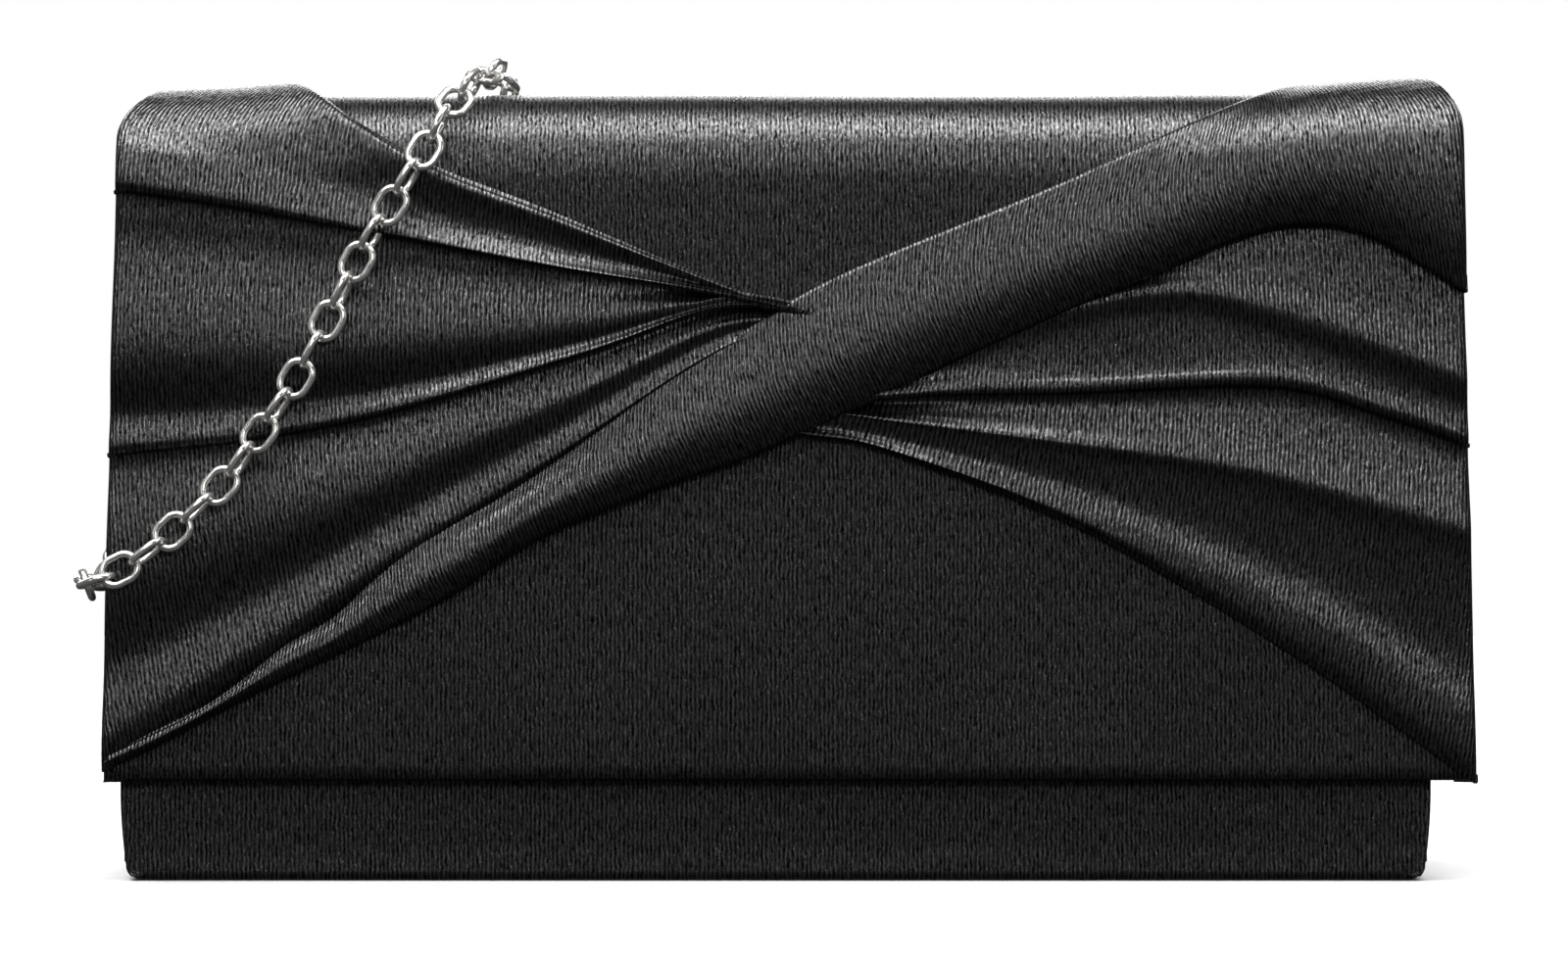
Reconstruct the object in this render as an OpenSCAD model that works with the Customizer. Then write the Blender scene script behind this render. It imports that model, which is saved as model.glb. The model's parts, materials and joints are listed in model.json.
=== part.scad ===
// Envelope evening clutch: a stiffened satin body with folded gussets, a domed flap with a
// crossed drape, two magnetic snaps and a cable-chain shoulder strap.
// +X is the bearer's left when worn, -Y is the front, +Z is up. The base stands on z = 0.

/* [Flap] */
// Width of the flap along its lower edge
flap_w = 260; // [250:1:280]
// Width of the flap along its domed top
flap_top_w = 255; // [246:1:276]
// Height of the flap's lower edge above the base
flap_edge_z = 19.6; // [16:0.2:28]
// Radius of the soft upper corners, seen from the front
flap_corner_r = 8; // [6:0.5:12]

/* [Body] */
// Width of the body
body_w = 250; // [240:1:252]
// How far the body sits to one side of the flap's middle
body_shift = 2.5; // [1.5:0.1:2.5]
// Height with the flap closed
bag_h = 150; // [146:1:160]
// Radius of the lower corners, seen from the front
body_corner_r = 3; // [2:0.5:5]

/* [Profile] */
// Outer radius of the domed top
dome_r = 17; // [16.8:0.1:17.6]
// Lean of the front face, in degrees
front_lean = 4.8; // [4.4:0.1:5.2]
// Lean of the back face, in degrees
back_lean = 3.4; // [3.2:0.1:3.6]
// Depth to which a gusset folds in at the mouth
gusset_fold = 23; // [20:0.5:24]

/* [Layers] */
// Thickness of the satin cover
cover_t = 0.8; // [0.7:0.05:0.9]
// Thickness of the padding under the flap's cover
padding_t = 1.0; // [0.8:0.1:1.1]
// Thickness of the flap's stiffening board
flap_board_t = 1.5; // [1.3:0.1:1.6]
// Thickness of the body's stiffening boards
body_board_t = 2.0; // [1.8:0.1:2.1]
// Thickness of a lining
lining_t = 0.7; // [0.6:0.05:0.75]
// Thickness of the fans of the drape
fan_t = 1.6; // [1.2:0.1:1.8]
// Thickness of the band of the drape
band_t = 2.8; // [2.2:0.1:3.2]

/* [Snaps and chain] */
// Distance from the middle to a magnetic snap
snap_x = 70; // [50:1:90]
// Height of the magnetic snaps
snap_z = 48; // [40:1:70]
// Radius of a snap's disc
snap_r = 9; // [8:0.5:9.5]
// Radius of the tube that stands for the chain
chain_r = 2.4; // [2.2:0.1:2.5]

/* [Hidden] */

eps = 0.01;
arc_step = 6;
// arc steps by which the padding, the board and the drape stop short of the back
padding_short = 2;
board_short = 3;
drape_short = 11;
hinge_gap = 0.3;
flap_gap = 0.5;
base_gap = 0.1;

// depths below the outer face of the flap
board_in = cover_t + padding_t;
lining_in = board_in + flap_board_t;
flap_in = lining_in + lining_t;
front_out = flap_in + flap_gap;
front_board_out = front_out + cover_t;
front_lining_out = front_board_out + body_board_t;
front_in = front_lining_out + lining_t;
back_lining_out = cover_t + body_board_t;
back_in = back_lining_out + lining_t;

// the dome's centre stands where the bag's front and back are equally far from the origin
dome_z = bag_h - dome_r;
front_reach = (dome_r + fan_t) / cos(front_lean) + (dome_z - flap_edge_z) * tan(front_lean);
back_reach = dome_r / cos(back_lean) + dome_z * tan(back_lean);
dome_y = (front_reach - back_reach) / 2;

body_x = -body_shift;
left_x = body_x - body_w / 2;
right_x = body_x + body_w / 2;
base_top = cover_t + body_board_t;
panel_z = base_top + 0.4;
mouth_z = dome_z - 5;
binding_h = 1.4;
tilt_z = 3;

// heights and widths of the slip pocket
pocket_w = 130;
pocket_low = 22;
pocket_top = 84;
pocket_t = 0.6;
pocket_binding_h = 6;

// snaps
stud_r = 3.2;
stud_l = 1.8;
socket_hole_r = 4.6;
socket_t = 2;
magnet_r = 7;
magnet_t = 0.7;
washer_r = 7.5;
washer_t = 0.5;
fit = 0.05;

// chain fittings, measured from the body's side edge and the dome's centre line
ring_in = 15.5;
ring_y = 7.5;
ring_z = 131.5;
ring_r = 5.2;
ring_wire = 0.8;
hook_in = 9.3;
hook_z = 130.6;
hook_r = 2.95;
hook_wire = 0.65;
hook_half_t = 1.1;
lever_low = 200;
lever_high = 112;
lever_pin_r = 0.5;
lever_shoulder = 36;
lever_tip = 11;
stem_r = 1.3;
stem_low = 119.6;
tab_w = 8;
tab_low = 122;
tab_top = 133.6;
tab_t = 2.6;

// chain route, point by point
tube_sides = 8;
left_route = [[-118.4, 7.5, 119.5], [-119.8, 6.6, 108], [-121.4, 5.4, 95], [-122.8, 4, 82],
    [-124.4, 2, 71], [-127.6, -2, 62.5], [-131.4, -7, 58], [-133.8, -12, 56.6],
    [-134.2, -15.6, 56.4]];
front_route = [[-134.2, -16.2, 56.4], [-134.2, -20.6, 56.6], [-132.6, -25.2, 57.4],
    [-128.6, -27, 59], [-124.2, -26.6, 61.4], [-119, -26, 65.4], [-113, -25.6, 71],
    [-107, -25, 76.8], [-102.4, -24.4, 83.4], [-98, -23.8, 89.6], [-93.2, -23.2, 97],
    [-87.2, -22.2, 108.4], [-81.4, -21.2, 120], [-73.8, -20.2, 132.4], [-69, -18.6, 140.2],
    [-65.2, -14.4, 147.2], [-60.6, -7.4, 152.4], [-57, 1.6, 154.4], [-55.4, 8.2, 153.4],
    [-54.4, 13.6, 150.8]];
back_route = [[-53, 22.6, 118], [-52.6, 23.6, 100], [-52.2, 24.8, 80], [-51.8, 26, 60],
    [-51.4, 27.2, 42], [-51, 28.4, 26], [-49.4, 29.6, 14], [-44, 31.4, 6], [-34, 33.4, 4]];
right_route = [[50, 34.4, 10.4], [64, 33.4, 9], [78, 32.4, 4.6], [92, 31.8, 3.8],
    [104, 31.4, 7], [113, 31, 16], [120, 30.4, 28], [125.6, 28.6, 40], [127.2, 23.4, 50],
    [125.6, 16.4, 58.6], [121.6, 11, 68], [118, 8.6, 80], [116, 7.8, 94], [114.4, 7.5, 107],
    [113.4, 7.5, 119.5]];

// stored hank of chain behind the back
hank_l = 138;
hank_w = 48.4;
hank_y = 55.2;
hank_low = 0.8;
hank_h = 12.6;
tie_w = 8;
tie_t = 0.6;

// ---- profile of the closed bag, in the plane of Y and Z ----
function front_y(z, t) =
    dome_y - (dome_r - t) / cos(front_lean) + (z - dome_z) * tan(front_lean);
function back_y(z, t) =
    dome_y + (dome_r - t) / cos(back_lean) - (z - dome_z) * tan(back_lean);
function middle_y(z) = (front_y(z, front_in) + back_y(z, back_in)) / 2;
function dome_pt(a, t) = [dome_y + (dome_r - t) * cos(a), dome_z + (dome_r - t) * sin(a)];

// the flap's path at depth t: up the front, then round the dome, stopping short steps before
// the back, so that the facets of all layers lie one on another
dome_first = 180 - front_lean;
dome_steps = ceil((dome_first - back_lean) / arc_step);
function dome_angles(short) =
    [for (i = [0:dome_steps - short]) dome_first + (back_lean - dome_first) * i / dome_steps];
function flap_path(t, low, short) =
    concat([[front_y(low, t), low]], [for (a = dome_angles(short)) dome_pt(a, t)]);
function turned(list) = [for (i = [len(list) - 1:-1:0]) list[i]];

module across(from, to) {
    translate([from, 0, 0]) rotate([90, 0, 90]) linear_extrude(to - from) children();
}

module flap_layer(t_out, t_in, low, short) {
    across(-flap_w / 2 - 1, flap_w / 2 + 1)
        polygon(concat(flap_path(t_out, low, short), turned(flap_path(t_in, low, short))));
}

// ---- outlines seen from the front, in the plane of X and Z ----
function corner(cx, cz, r, from, to) =
    [for (i = [0:6]) let (a = from + (to - from) * i / 6) [cx + r * cos(a), cz + r * sin(a)]];

module facing(outline) {
    translate([0, 60, 0]) rotate([90, 0, 0]) linear_extrude(120) polygon(outline);
}

function flap_outline(inset, low, out = 0) =
    let (r = flap_corner_r, half = flap_top_w / 2 - inset, top = bag_h + out)
    concat([[-flap_w / 2 + inset, low], [flap_w / 2 - inset, low]],
        corner(half - r, top - r, r, 0, 90), corner(-half + r, top - r, r, 90, 180));

function body_outline(inset, top) =
    let (r = body_corner_r)
    concat([[right_x - inset, top], [left_x + inset, top]],
        corner(left_x + inset + r, r, r, 180, 270), corner(right_x - inset - r, r, r, 270, 360));

module body_trim(inset = 0) {
    intersection() {
        children();
        facing(body_outline(inset, bag_h));
    }
}

// ---- panels of the body ----
module back_layer(t_out, t_in, low) {
    slope = [sin(back_lean), -cos(back_lean)] * hinge_gap;
    across(left_x, right_x)
        polygon([[back_y(low, t_out), low], dome_pt(back_lean, t_out) + slope,
            dome_pt(back_lean, t_in) + slope, [back_y(low, t_in), low]]);
}

module front_layer(t_out, t_in, low, top) {
    across(left_x, right_x)
        polygon([[front_y(low, t_out), low], [front_y(top, t_out), top],
            [front_y(top, t_in), top], [front_y(low, t_in), low]]);
}

module base_cover() {
    color("#141416") body_trim()
        across(left_x, right_x)
            polygon([[front_y(0, front_out), 0], [back_y(0, 0), 0],
                [back_y(cover_t, 0), cover_t], [front_y(cover_t, front_board_out), cover_t],
                [front_y(base_top, front_board_out), base_top],
                [front_y(base_top, front_out), base_top]]);
}

module base_board() {
    color("#8a7f6d") body_trim(cover_t)
        across(left_x, right_x)
            polygon([[front_y(cover_t, front_board_out), cover_t],
                [back_y(cover_t, cover_t), cover_t], [back_y(base_top, cover_t), base_top],
                [front_y(base_top, front_board_out), base_top]]);
}

module base_lining() {
    color("#26262a")
        translate([left_x + 4, front_y(panel_z, front_in) + 0.4, base_top + base_gap])
            cube([body_w - 8, back_y(panel_z, back_in) - front_y(panel_z, front_in) - 0.8, lining_t]);
}

module back_cover() {
    color("#141416") body_trim() back_layer(0, cover_t, cover_t);
}

module back_board() {
    color("#8a7f6d") body_trim(cover_t) back_layer(cover_t, back_lining_out, base_top + base_gap);
}

module back_lining() {
    color("#26262a") body_trim(cover_t)
        back_layer(back_lining_out, back_in, base_top + base_gap);
}

module slip_pocket() {
    color("#2b2b2f")
        across(body_x - pocket_w / 2, body_x + pocket_w / 2)
            polygon([[back_y(pocket_low, back_in), pocket_low],
                [back_y(pocket_top, back_in), pocket_top],
                [back_y(pocket_top, back_in + pocket_t), pocket_top],
                [back_y(pocket_low, back_in + pocket_t), pocket_low]]);
}

module pocket_binding() {
    low = pocket_top - pocket_binding_h;
    color("#0f0f11")
        across(body_x - pocket_w / 2, body_x + pocket_w / 2)
            polygon([[back_y(low, back_in + pocket_t), low],
                [back_y(pocket_top, back_in + pocket_t), pocket_top],
                [back_y(pocket_top, back_in + 2 * pocket_t), pocket_top],
                [back_y(low, back_in + 2 * pocket_t), low]]);
}

module snap_place(t) {
    for (side = [-1, 1])
        translate([side * snap_x, front_y(snap_z, 0), snap_z])
            rotate([90 - front_lean, 0, 0]) translate([0, 0, -t]) children();
}

module front_cover() {
    color("#141416") difference() {
        body_trim() front_layer(front_out, front_board_out, panel_z, mouth_z);
        snap_place(front_in) cylinder(r = snap_r + 0.5 + fit, h = front_in, $fn = 64);
    }
}

module front_board() {
    color("#8a7f6d") difference() {
        body_trim(cover_t) front_layer(front_board_out, front_lining_out, panel_z, mouth_z);
        snap_place(front_lining_out + 1) cylinder(r = snap_r + 0.5 + fit, h = front_in, $fn = 64);
    }
}

module front_lining() {
    color("#26262a") body_trim(cover_t)
        front_layer(front_lining_out, front_in, panel_z, mouth_z);
}

module mouth_binding() {
    color("#0f0f11") body_trim(cover_t)
        front_layer(front_out, front_in, mouth_z, mouth_z + binding_h);
}

module snap_sockets() {
    color("silver") snap_place(front_out + socket_t) difference() {
        cylinder(r = snap_r + 0.5, h = socket_t, $fn = 64);
        translate([0, 0, -eps]) cylinder(r = socket_hole_r, h = socket_t + 1, $fn = 48);
    }
}

module socket_magnets() {
    color("dimgray") snap_place(front_lining_out)
        cylinder(r = magnet_r, h = magnet_t, $fn = 48);
}

// ---- gussets: each half runs from a panel's edge to the fold between the panels ----
function grid_faces(rows, cols) =
    let (n = rows * cols, at = function (r, c, k) k * n + r * cols + c)
    concat(
        [for (r = [0:rows - 2], c = [0:cols - 2])
            each [[at(r, c, 0), at(r + 1, c, 0), at(r + 1, c + 1, 0)],
                [at(r, c, 0), at(r + 1, c + 1, 0), at(r, c + 1, 0)],
                [at(r, c, 1), at(r + 1, c + 1, 1), at(r + 1, c, 1)],
                [at(r, c, 1), at(r, c + 1, 1), at(r + 1, c + 1, 1)]]],
        [for (r = [0:rows - 2])
            each [[at(r, 0, 0), at(r, 0, 1), at(r + 1, 0, 1), at(r + 1, 0, 0)],
                [at(r, cols - 1, 0), at(r + 1, cols - 1, 0), at(r + 1, cols - 1, 1),
                    at(r, cols - 1, 1)]]],
        [for (c = [0:cols - 2])
            each [[at(0, c, 0), at(0, c + 1, 0), at(0, c + 1, 1), at(0, c, 1)],
                [at(rows - 1, c, 0), at(rows - 1, c, 1), at(rows - 1, c + 1, 1),
                    at(rows - 1, c + 1, 0)]]]);

module gusset_half(side, rear) {
    rows = 5;
    cols = 2;
    low = panel_z + 0.4;
    inward = -side;
    edge = side > 0 ? right_x : left_x;
    clear = 0.2;
    grid = [for (r = [0:rows - 1], c = [0:cols - 1])
        let (z = low + (mouth_z - low) * r / (rows - 1),
            fold = gusset_fold * (z - low) / (mouth_z - low),
            y_panel = rear ? back_y(z, back_in) - clear : front_y(z, front_in) + clear,
            y_fold = middle_y(z) + (rear ? clear : -clear))
        [edge + inward * (0.1 + fold * c), c == 0 ? y_panel : y_fold, z]];
    pushed = [for (p = grid) p + [inward * cover_t, 0, 0]];
    flip = (side > 0) != rear;
    faces = grid_faces(rows, cols);
    color("#1a1a1c")
        polyhedron(concat(grid, pushed), flip ? [for (f = faces) turned(f)] : faces);
}

module gusset_left_rear() { gusset_half(-1, true); }
module gusset_right_rear() { gusset_half(1, true); }
module gusset_left_front() { gusset_half(-1, false); }
module gusset_right_front() { gusset_half(1, false); }

// ---- flap ----
module flap_cover() {
    color("#141416") difference() {
        intersection() {
            flap_layer(0, lining_in, flap_edge_z, 0);
            facing(flap_outline(0, flap_edge_z));
        }
        intersection() {
            flap_layer(cover_t, lining_in + 1, flap_edge_z + cover_t, -1);
            facing(flap_outline(cover_t, flap_edge_z + cover_t, 1));
        }
    }
}

module flap_padding() {
    color("#5a5a5a") difference() {
        intersection() {
            flap_layer(cover_t, board_in, flap_edge_z + cover_t, padding_short);
            facing(flap_outline(cover_t, flap_edge_z + cover_t, 1));
        }
        snap_place(board_in) translate([0, 0, -eps])
            cylinder(r = washer_r + fit, h = washer_t + 2 * eps, $fn = 48);
    }
}

module flap_board() {
    color("#8a7f6d") intersection() {
        flap_layer(board_in, lining_in, flap_edge_z + cover_t, board_short);
        facing(flap_outline(cover_t, flap_edge_z + cover_t, 1));
    }
}

module flap_lining() {
    color("#26262a") difference() {
        intersection() {
            flap_layer(lining_in, flap_in, flap_edge_z + 1, 0);
            facing(flap_outline(1, flap_edge_z + 1, 1));
        }
        snap_place(flap_in + eps) cylinder(r = snap_r + fit, h = lining_t + 2 * eps, $fn = 64);
    }
}

module snap_studs() {
    color("silver") {
        snap_place(flap_in) cylinder(r = snap_r, h = lining_t, $fn = 64);
        snap_place(flap_in + stud_l) cylinder(r = stud_r, h = stud_l + eps, $fn = 48);
    }
}

module stud_washers() {
    color("silver") snap_place(board_in) cylinder(r = washer_r, h = washer_t, $fn = 48);
}

// the drape lies on the flap's front and rolls over the dome at its upper corners
function curve(p0, p1, p2, steps) =
    [for (i = [0:steps]) let (u = i / steps)
        (1 - u) * (1 - u) * p0 + 2 * u * (1 - u) * p1 + u * u * p2];

// upper and lower edge of the band, from the lower left corner to the upper right one
band_upper = curve([-121, 30], [-70, 50], [-10, 104], 10);
band_upper_end = curve([-10, 104], [30, 131], [92, 149], 8);
band_lower = curve([-120, 23], [-60, 52], [10, 89], 8);
band_lower_end = curve([10, 89], [60, 113], [96, 124], 6);

module drape(outline, thick) {
    color("#1d1d1f") intersection() {
        flap_layer(-thick, -eps, flap_edge_z, drape_short);
        facing(flap_outline(0, flap_edge_z, thick));
        facing(outline);
    }
}

module drape_band() {
    drape(concat(band_upper, band_upper_end, [[104, 160], [140, 160], [140, 118], [120, 122]],
        turned(band_lower_end), turned(band_lower)), band_t);
}

module drape_left_fan() {
    drape(concat([[-140, 19]], [for (p = band_upper) p + [-0.4, 0.4]],
        curve([-12, 104.4], [-60, 126], [-102, 146], 6), [[-140, 160]]), fan_t);
}

module drape_right_fan() {
    drape(concat([for (p = band_lower_end) p + [0.4, -0.4]],
        [[120, 121.2], [140, 117], [140, 19], [128, 19.8]],
        curve([124, 24], [60, 74], [8, 84.6], 8)), fan_t);
}

// ---- chain fittings: drawn for the right side, mirrored for the left ----
module fitting_side(side) {
    translate([body_x, 0, 0]) mirror([side < 0 ? 1 : 0, 0, 0])
        translate([body_w / 2, 0, 0]) children();
}

module torus(r, wire) {
    rotate_extrude($fn = 48) translate([r, 0]) circle(r = wire, $fn = 16);
}

module d_ring(side) {
    color("silver") fitting_side(side) translate([-ring_in, ring_y, ring_z])
        torus(ring_r, ring_wire);
}

module chain_tab(side) {
    color("#141416") fitting_side(side) difference() {
        translate([-ring_in - tab_w / 2, 0, 0]) across(0, tab_w)
            polygon([[back_y(tab_low, back_in), tab_low],
                [back_y(ring_z - 2, back_in), ring_z - 2],
                [ring_y + ring_r + 1.4, tab_top], [ring_y + ring_r - 1.4, tab_top],
                [ring_y + ring_r - 1.4, ring_z - 1.4],
                [back_y(tab_low, back_in + 1.2), tab_low]]);
        translate([-ring_in, ring_y, ring_z]) torus(ring_r, ring_wire + fit);
    }
}

module hook_place(side) {
    fitting_side(side) translate([-hook_in, ring_y, hook_z]) children();
}

// part of a ring about the Y axis, between two angles counted from the inner side
module ring_sector(from, to) {
    mean = hook_r;
    rotate([90, 0, 0]) linear_extrude(2 * hook_half_t, center = true)
        polygon(concat(
            [for (i = [0:12]) let (a = from + (to - from) * i / 12)
                (mean + hook_wire) * [-cos(a), sin(a)]],
            [for (i = [12:-1:0]) let (a = from + (to - from) * i / 12)
                (mean - hook_wire) * [-cos(a), sin(a)]]));
}

module lever_pin_axis() {
    translate([-hook_r * cos(lever_low), 0, hook_r * sin(lever_low)])
        rotate([90, 0, 0]) children();
}

module clasp_hook(side) {
    color("silver") hook_place(side) difference() {
        union() {
            ring_sector(lever_low - 18, lever_high + 356);
            translate([0, 0, stem_low - hook_z])
                cylinder(r = stem_r, h = hook_z - hook_r - stem_low + 0.2, $fn = 24);
        }
        lever_slot();
        lever_pin_axis() cylinder(r = lever_pin_r + 0.02, h = 4, center = true, $fn = 24);
    }
}

// the slot in which the lever's eye turns
module lever_slot() {
    lever_pin_axis() cylinder(r = 1.25, h = 1.1, center = true, $fn = 32);
}

module clasp_lever(side) {
    color("silver") hook_place(side) difference() {
        union() {
            intersection() {
                ring_sector(lever_high + lever_tip, lever_low - lever_shoulder);
                cube([20, 1.7, 20], center = true);
            }
            intersection() {
                ring_sector(lever_high + 2 * lever_tip, lever_low);
                cube([20, 1, 20], center = true);
            }
            lever_pin_axis() cylinder(r = 1, h = 1, center = true, $fn = 32);
        }
        lever_pin_axis() cylinder(r = lever_pin_r + 0.05, h = 4, center = true, $fn = 24);
    }
}

module clasp_pin(side) {
    color("silver") hook_place(side)
        lever_pin_axis() cylinder(r = lever_pin_r, h = 2 * hook_half_t, center = true, $fn = 24);
}

module chain_tab_left() { chain_tab(-1); }
module chain_tab_right() { chain_tab(1); }
module d_ring_left() { d_ring(-1); }
module d_ring_right() { d_ring(1); }
module clasp_hook_left() { clasp_hook(-1); }
module clasp_hook_right() { clasp_hook(1); }
module clasp_lever_left() { clasp_lever(-1); }
module clasp_lever_right() { clasp_lever(1); }
module clasp_pin_left() { clasp_pin(-1); }
module clasp_pin_right() { clasp_pin(1); }

// ---- chain: a tube along each run, and one solid for the stored hank ----
function unit(v) = v / norm(v);
function heading(p, i) = unit(p[min(i + 1, len(p) - 1)] - p[max(i - 1, 0)]);
function beside(n, t) = unit(n - (n * t) * t);
function sides_of(p) =
    [for (i = 0, n = beside([0.3, 0.9, 0.2], heading(p, 0)); i < len(p);
        i = i + 1, n = i < len(p) ? beside(n, heading(p, i)) : n) n];

module tube(route, r) {
    n = len(route);
    across_ring = sides_of(route);
    points = [for (i = [0:n - 1], k = [0:tube_sides - 1])
        let (t = heading(route, i), u = across_ring[i], v = cross(t, u),
            a = 360 * k / tube_sides)
        route[i] + r * (cos(a) * u + sin(a) * v)];
    walls = [for (i = [0:n - 2], k = [0:tube_sides - 1])
        let (j = (k + 1) % tube_sides, b = i * tube_sides)
        each [[b + k, b + tube_sides + k, b + tube_sides + j], [b + k, b + tube_sides + j, b + j]]];
    first = [for (k = [0:tube_sides - 1]) k];
    last = [for (k = [tube_sides - 1:-1:0]) (n - 1) * tube_sides + k];
    color("silver") polyhedron(points, concat(walls, [first, last]));
}

module chain_left_run() { tube(left_route, chain_r); }
module chain_front_run() { tube(front_route, chain_r); }
module chain_back_run() { tube(back_route, chain_r); }
module chain_right_run() { tube(right_route, chain_r); }

module hank_outline(l, w) {
    square([l - w, w], center = true);
    for (side = [-1, 1]) translate([side * (l - w) / 2, 0]) circle(d = w, $fn = 64);
}

module chain_hank() {
    color("silver") translate([0, hank_y, hank_low])
        linear_extrude(hank_h) hank_outline(hank_l, hank_w);
}

module chain_tie() {
    w = hank_w + 2 * tie_t + 0.1;
    h = hank_h + 2 * tie_t + 0.1;
    color("#1a1a1a") translate([-tie_w / 2, hank_y, hank_low + hank_h / 2]) difference() {
        translate([0, -w / 2, -h / 2]) cube([tie_w, w, h]);
        translate([-1, -w / 2 + tie_t, -h / 2 + tie_t])
            cube([tie_w + 2, w - 2 * tie_t, h - 2 * tie_t]);
    }
}

base_cover();
base_board();
base_lining();
back_cover();
back_board();
back_lining();
slip_pocket();
pocket_binding();
gusset_left_rear();
gusset_right_rear();
front_cover();
front_board();
front_lining();
mouth_binding();
gusset_left_front();
gusset_right_front();
snap_sockets();
socket_magnets();
flap_cover();
flap_padding();
flap_board();
flap_lining();
drape_left_fan();
drape_right_fan();
drape_band();
snap_studs();
stud_washers();
chain_tab_left();
chain_tab_right();
d_ring_left();
d_ring_right();
clasp_hook_left();
clasp_hook_right();
clasp_lever_left();
clasp_lever_right();
clasp_pin_left();
clasp_pin_right();
chain_left_run();
chain_front_run();
chain_back_run();
chain_hank();
chain_right_run();
chain_tie();
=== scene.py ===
"""Satin evening clutch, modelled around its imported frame.

The cloth is built as sheets that follow the bag's own profile: s is the distance along the
flap's outer face, from its lower edge up the front and over the dome, and lift is the height
above that face. Lengths in this script are metres; MM turns millimetres into them.
"""

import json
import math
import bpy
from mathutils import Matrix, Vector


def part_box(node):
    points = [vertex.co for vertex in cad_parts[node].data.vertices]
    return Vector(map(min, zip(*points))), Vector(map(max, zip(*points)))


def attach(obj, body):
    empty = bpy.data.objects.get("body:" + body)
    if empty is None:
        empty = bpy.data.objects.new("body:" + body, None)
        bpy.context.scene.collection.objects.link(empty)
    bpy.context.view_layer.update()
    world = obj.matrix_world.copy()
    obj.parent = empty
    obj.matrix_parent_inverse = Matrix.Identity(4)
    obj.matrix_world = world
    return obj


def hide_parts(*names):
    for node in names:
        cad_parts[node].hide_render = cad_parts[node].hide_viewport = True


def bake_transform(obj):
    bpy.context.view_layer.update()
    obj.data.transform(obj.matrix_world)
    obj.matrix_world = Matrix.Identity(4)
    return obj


bl_info = {
    "name": "Satin Evening Clutch",
    "version": (1, 0, 0),
    "blender": (4, 5, 0),
    "location": "View3D > Sidebar > Clutch",
    "description": "Builds a ribbed-satin envelope clutch with a crossed drape and a cable chain",
    "category": "Object",
}

import bpy
from bpy.props import FloatProperty, IntProperty, PointerProperty, StringProperty
from mathutils import Matrix, Vector, noise

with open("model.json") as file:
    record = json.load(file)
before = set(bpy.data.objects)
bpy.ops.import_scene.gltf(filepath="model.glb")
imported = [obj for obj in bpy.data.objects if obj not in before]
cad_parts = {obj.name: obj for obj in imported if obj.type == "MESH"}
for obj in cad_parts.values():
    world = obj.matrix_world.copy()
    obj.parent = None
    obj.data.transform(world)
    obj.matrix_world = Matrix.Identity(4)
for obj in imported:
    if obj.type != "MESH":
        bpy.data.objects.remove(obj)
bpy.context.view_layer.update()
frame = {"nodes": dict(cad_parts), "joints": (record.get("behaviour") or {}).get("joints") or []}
MM = 0.001

# ---------------------------------------------------------------- profile of the bag
JOINTS = {joint["name"]: joint for joint in frame["joints"]}
HINGE = Vector(JOINTS["flap_hinge"]["pos_m"])
FRONT_LEAN = math.radians(4.8)
BACK_LEAN = math.radians(3.4)
DOME_R = 17 * MM
FLAP_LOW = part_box("flap_cover")[0][2]
FLAP_HALF_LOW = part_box("flap_cover")[1][0]
FLAP_HALF_TOP = FLAP_HALF_LOW - 2.5 * MM
DOME_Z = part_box("flap_cover")[1][2] - DOME_R
DOME_Y = HINGE.y - DOME_R * math.cos(BACK_LEAN)
CORNER_R = 8 * MM
FIRST_ANGLE = math.pi - FRONT_LEAN
FRONT_RUN = (DOME_Z + DOME_R * math.sin(FRONT_LEAN) - FLAP_LOW) / math.cos(FRONT_LEAN)
HINGE_S = FRONT_RUN + DOME_R * (FIRST_ANGLE - BACK_LEAN)
LINING_DEPTH = 3.3 * MM
FLAP_DEPTH = 4.0 * MM
FRONT_DEPTH = 4.5 * MM
FRONT_INNER = 8.0 * MM
BACK_INNER = 3.5 * MM
BODY_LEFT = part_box("back_cover")[0][0]
BODY_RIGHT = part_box("back_cover")[1][0]
BODY_MID = (BODY_LEFT + BODY_RIGHT) / 2
BODY_HALF = (BODY_RIGHT - BODY_LEFT) / 2
MOUTH_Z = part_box("mouth_binding")[0][2]


def front_y(z, depth):
    """Y of the front at height z, at a depth below the flap's outer face."""
    return DOME_Y - (DOME_R - depth) / math.cos(FRONT_LEAN) + (z - DOME_Z) * math.tan(FRONT_LEAN)


def back_y(z, depth):
    """Y of the back at height z, at a depth below its outer face."""
    return DOME_Y + (DOME_R - depth) / math.cos(BACK_LEAN) - (z - DOME_Z) * math.tan(BACK_LEAN)


def profile(s):
    """Point and outward normal of the flap and back at distance s, in the plane of Y and Z."""
    if s <= FRONT_RUN:
        normal = (-math.cos(FRONT_LEAN), math.sin(FRONT_LEAN))
        z = FLAP_LOW + s * math.cos(FRONT_LEAN)
        return (front_y(z, 0), z), normal
    if s <= HINGE_S:
        angle = FIRST_ANGLE - (s - FRONT_RUN) / DOME_R
        normal = (math.cos(angle), math.sin(angle))
        return (DOME_Y + DOME_R * normal[0], DOME_Z + DOME_R * normal[1]), normal
    normal = (math.cos(BACK_LEAN), math.sin(BACK_LEAN))
    z = HINGE.z - (s - HINGE_S) * math.cos(BACK_LEAN)
    return (back_y(z, 0), z), normal


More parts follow.
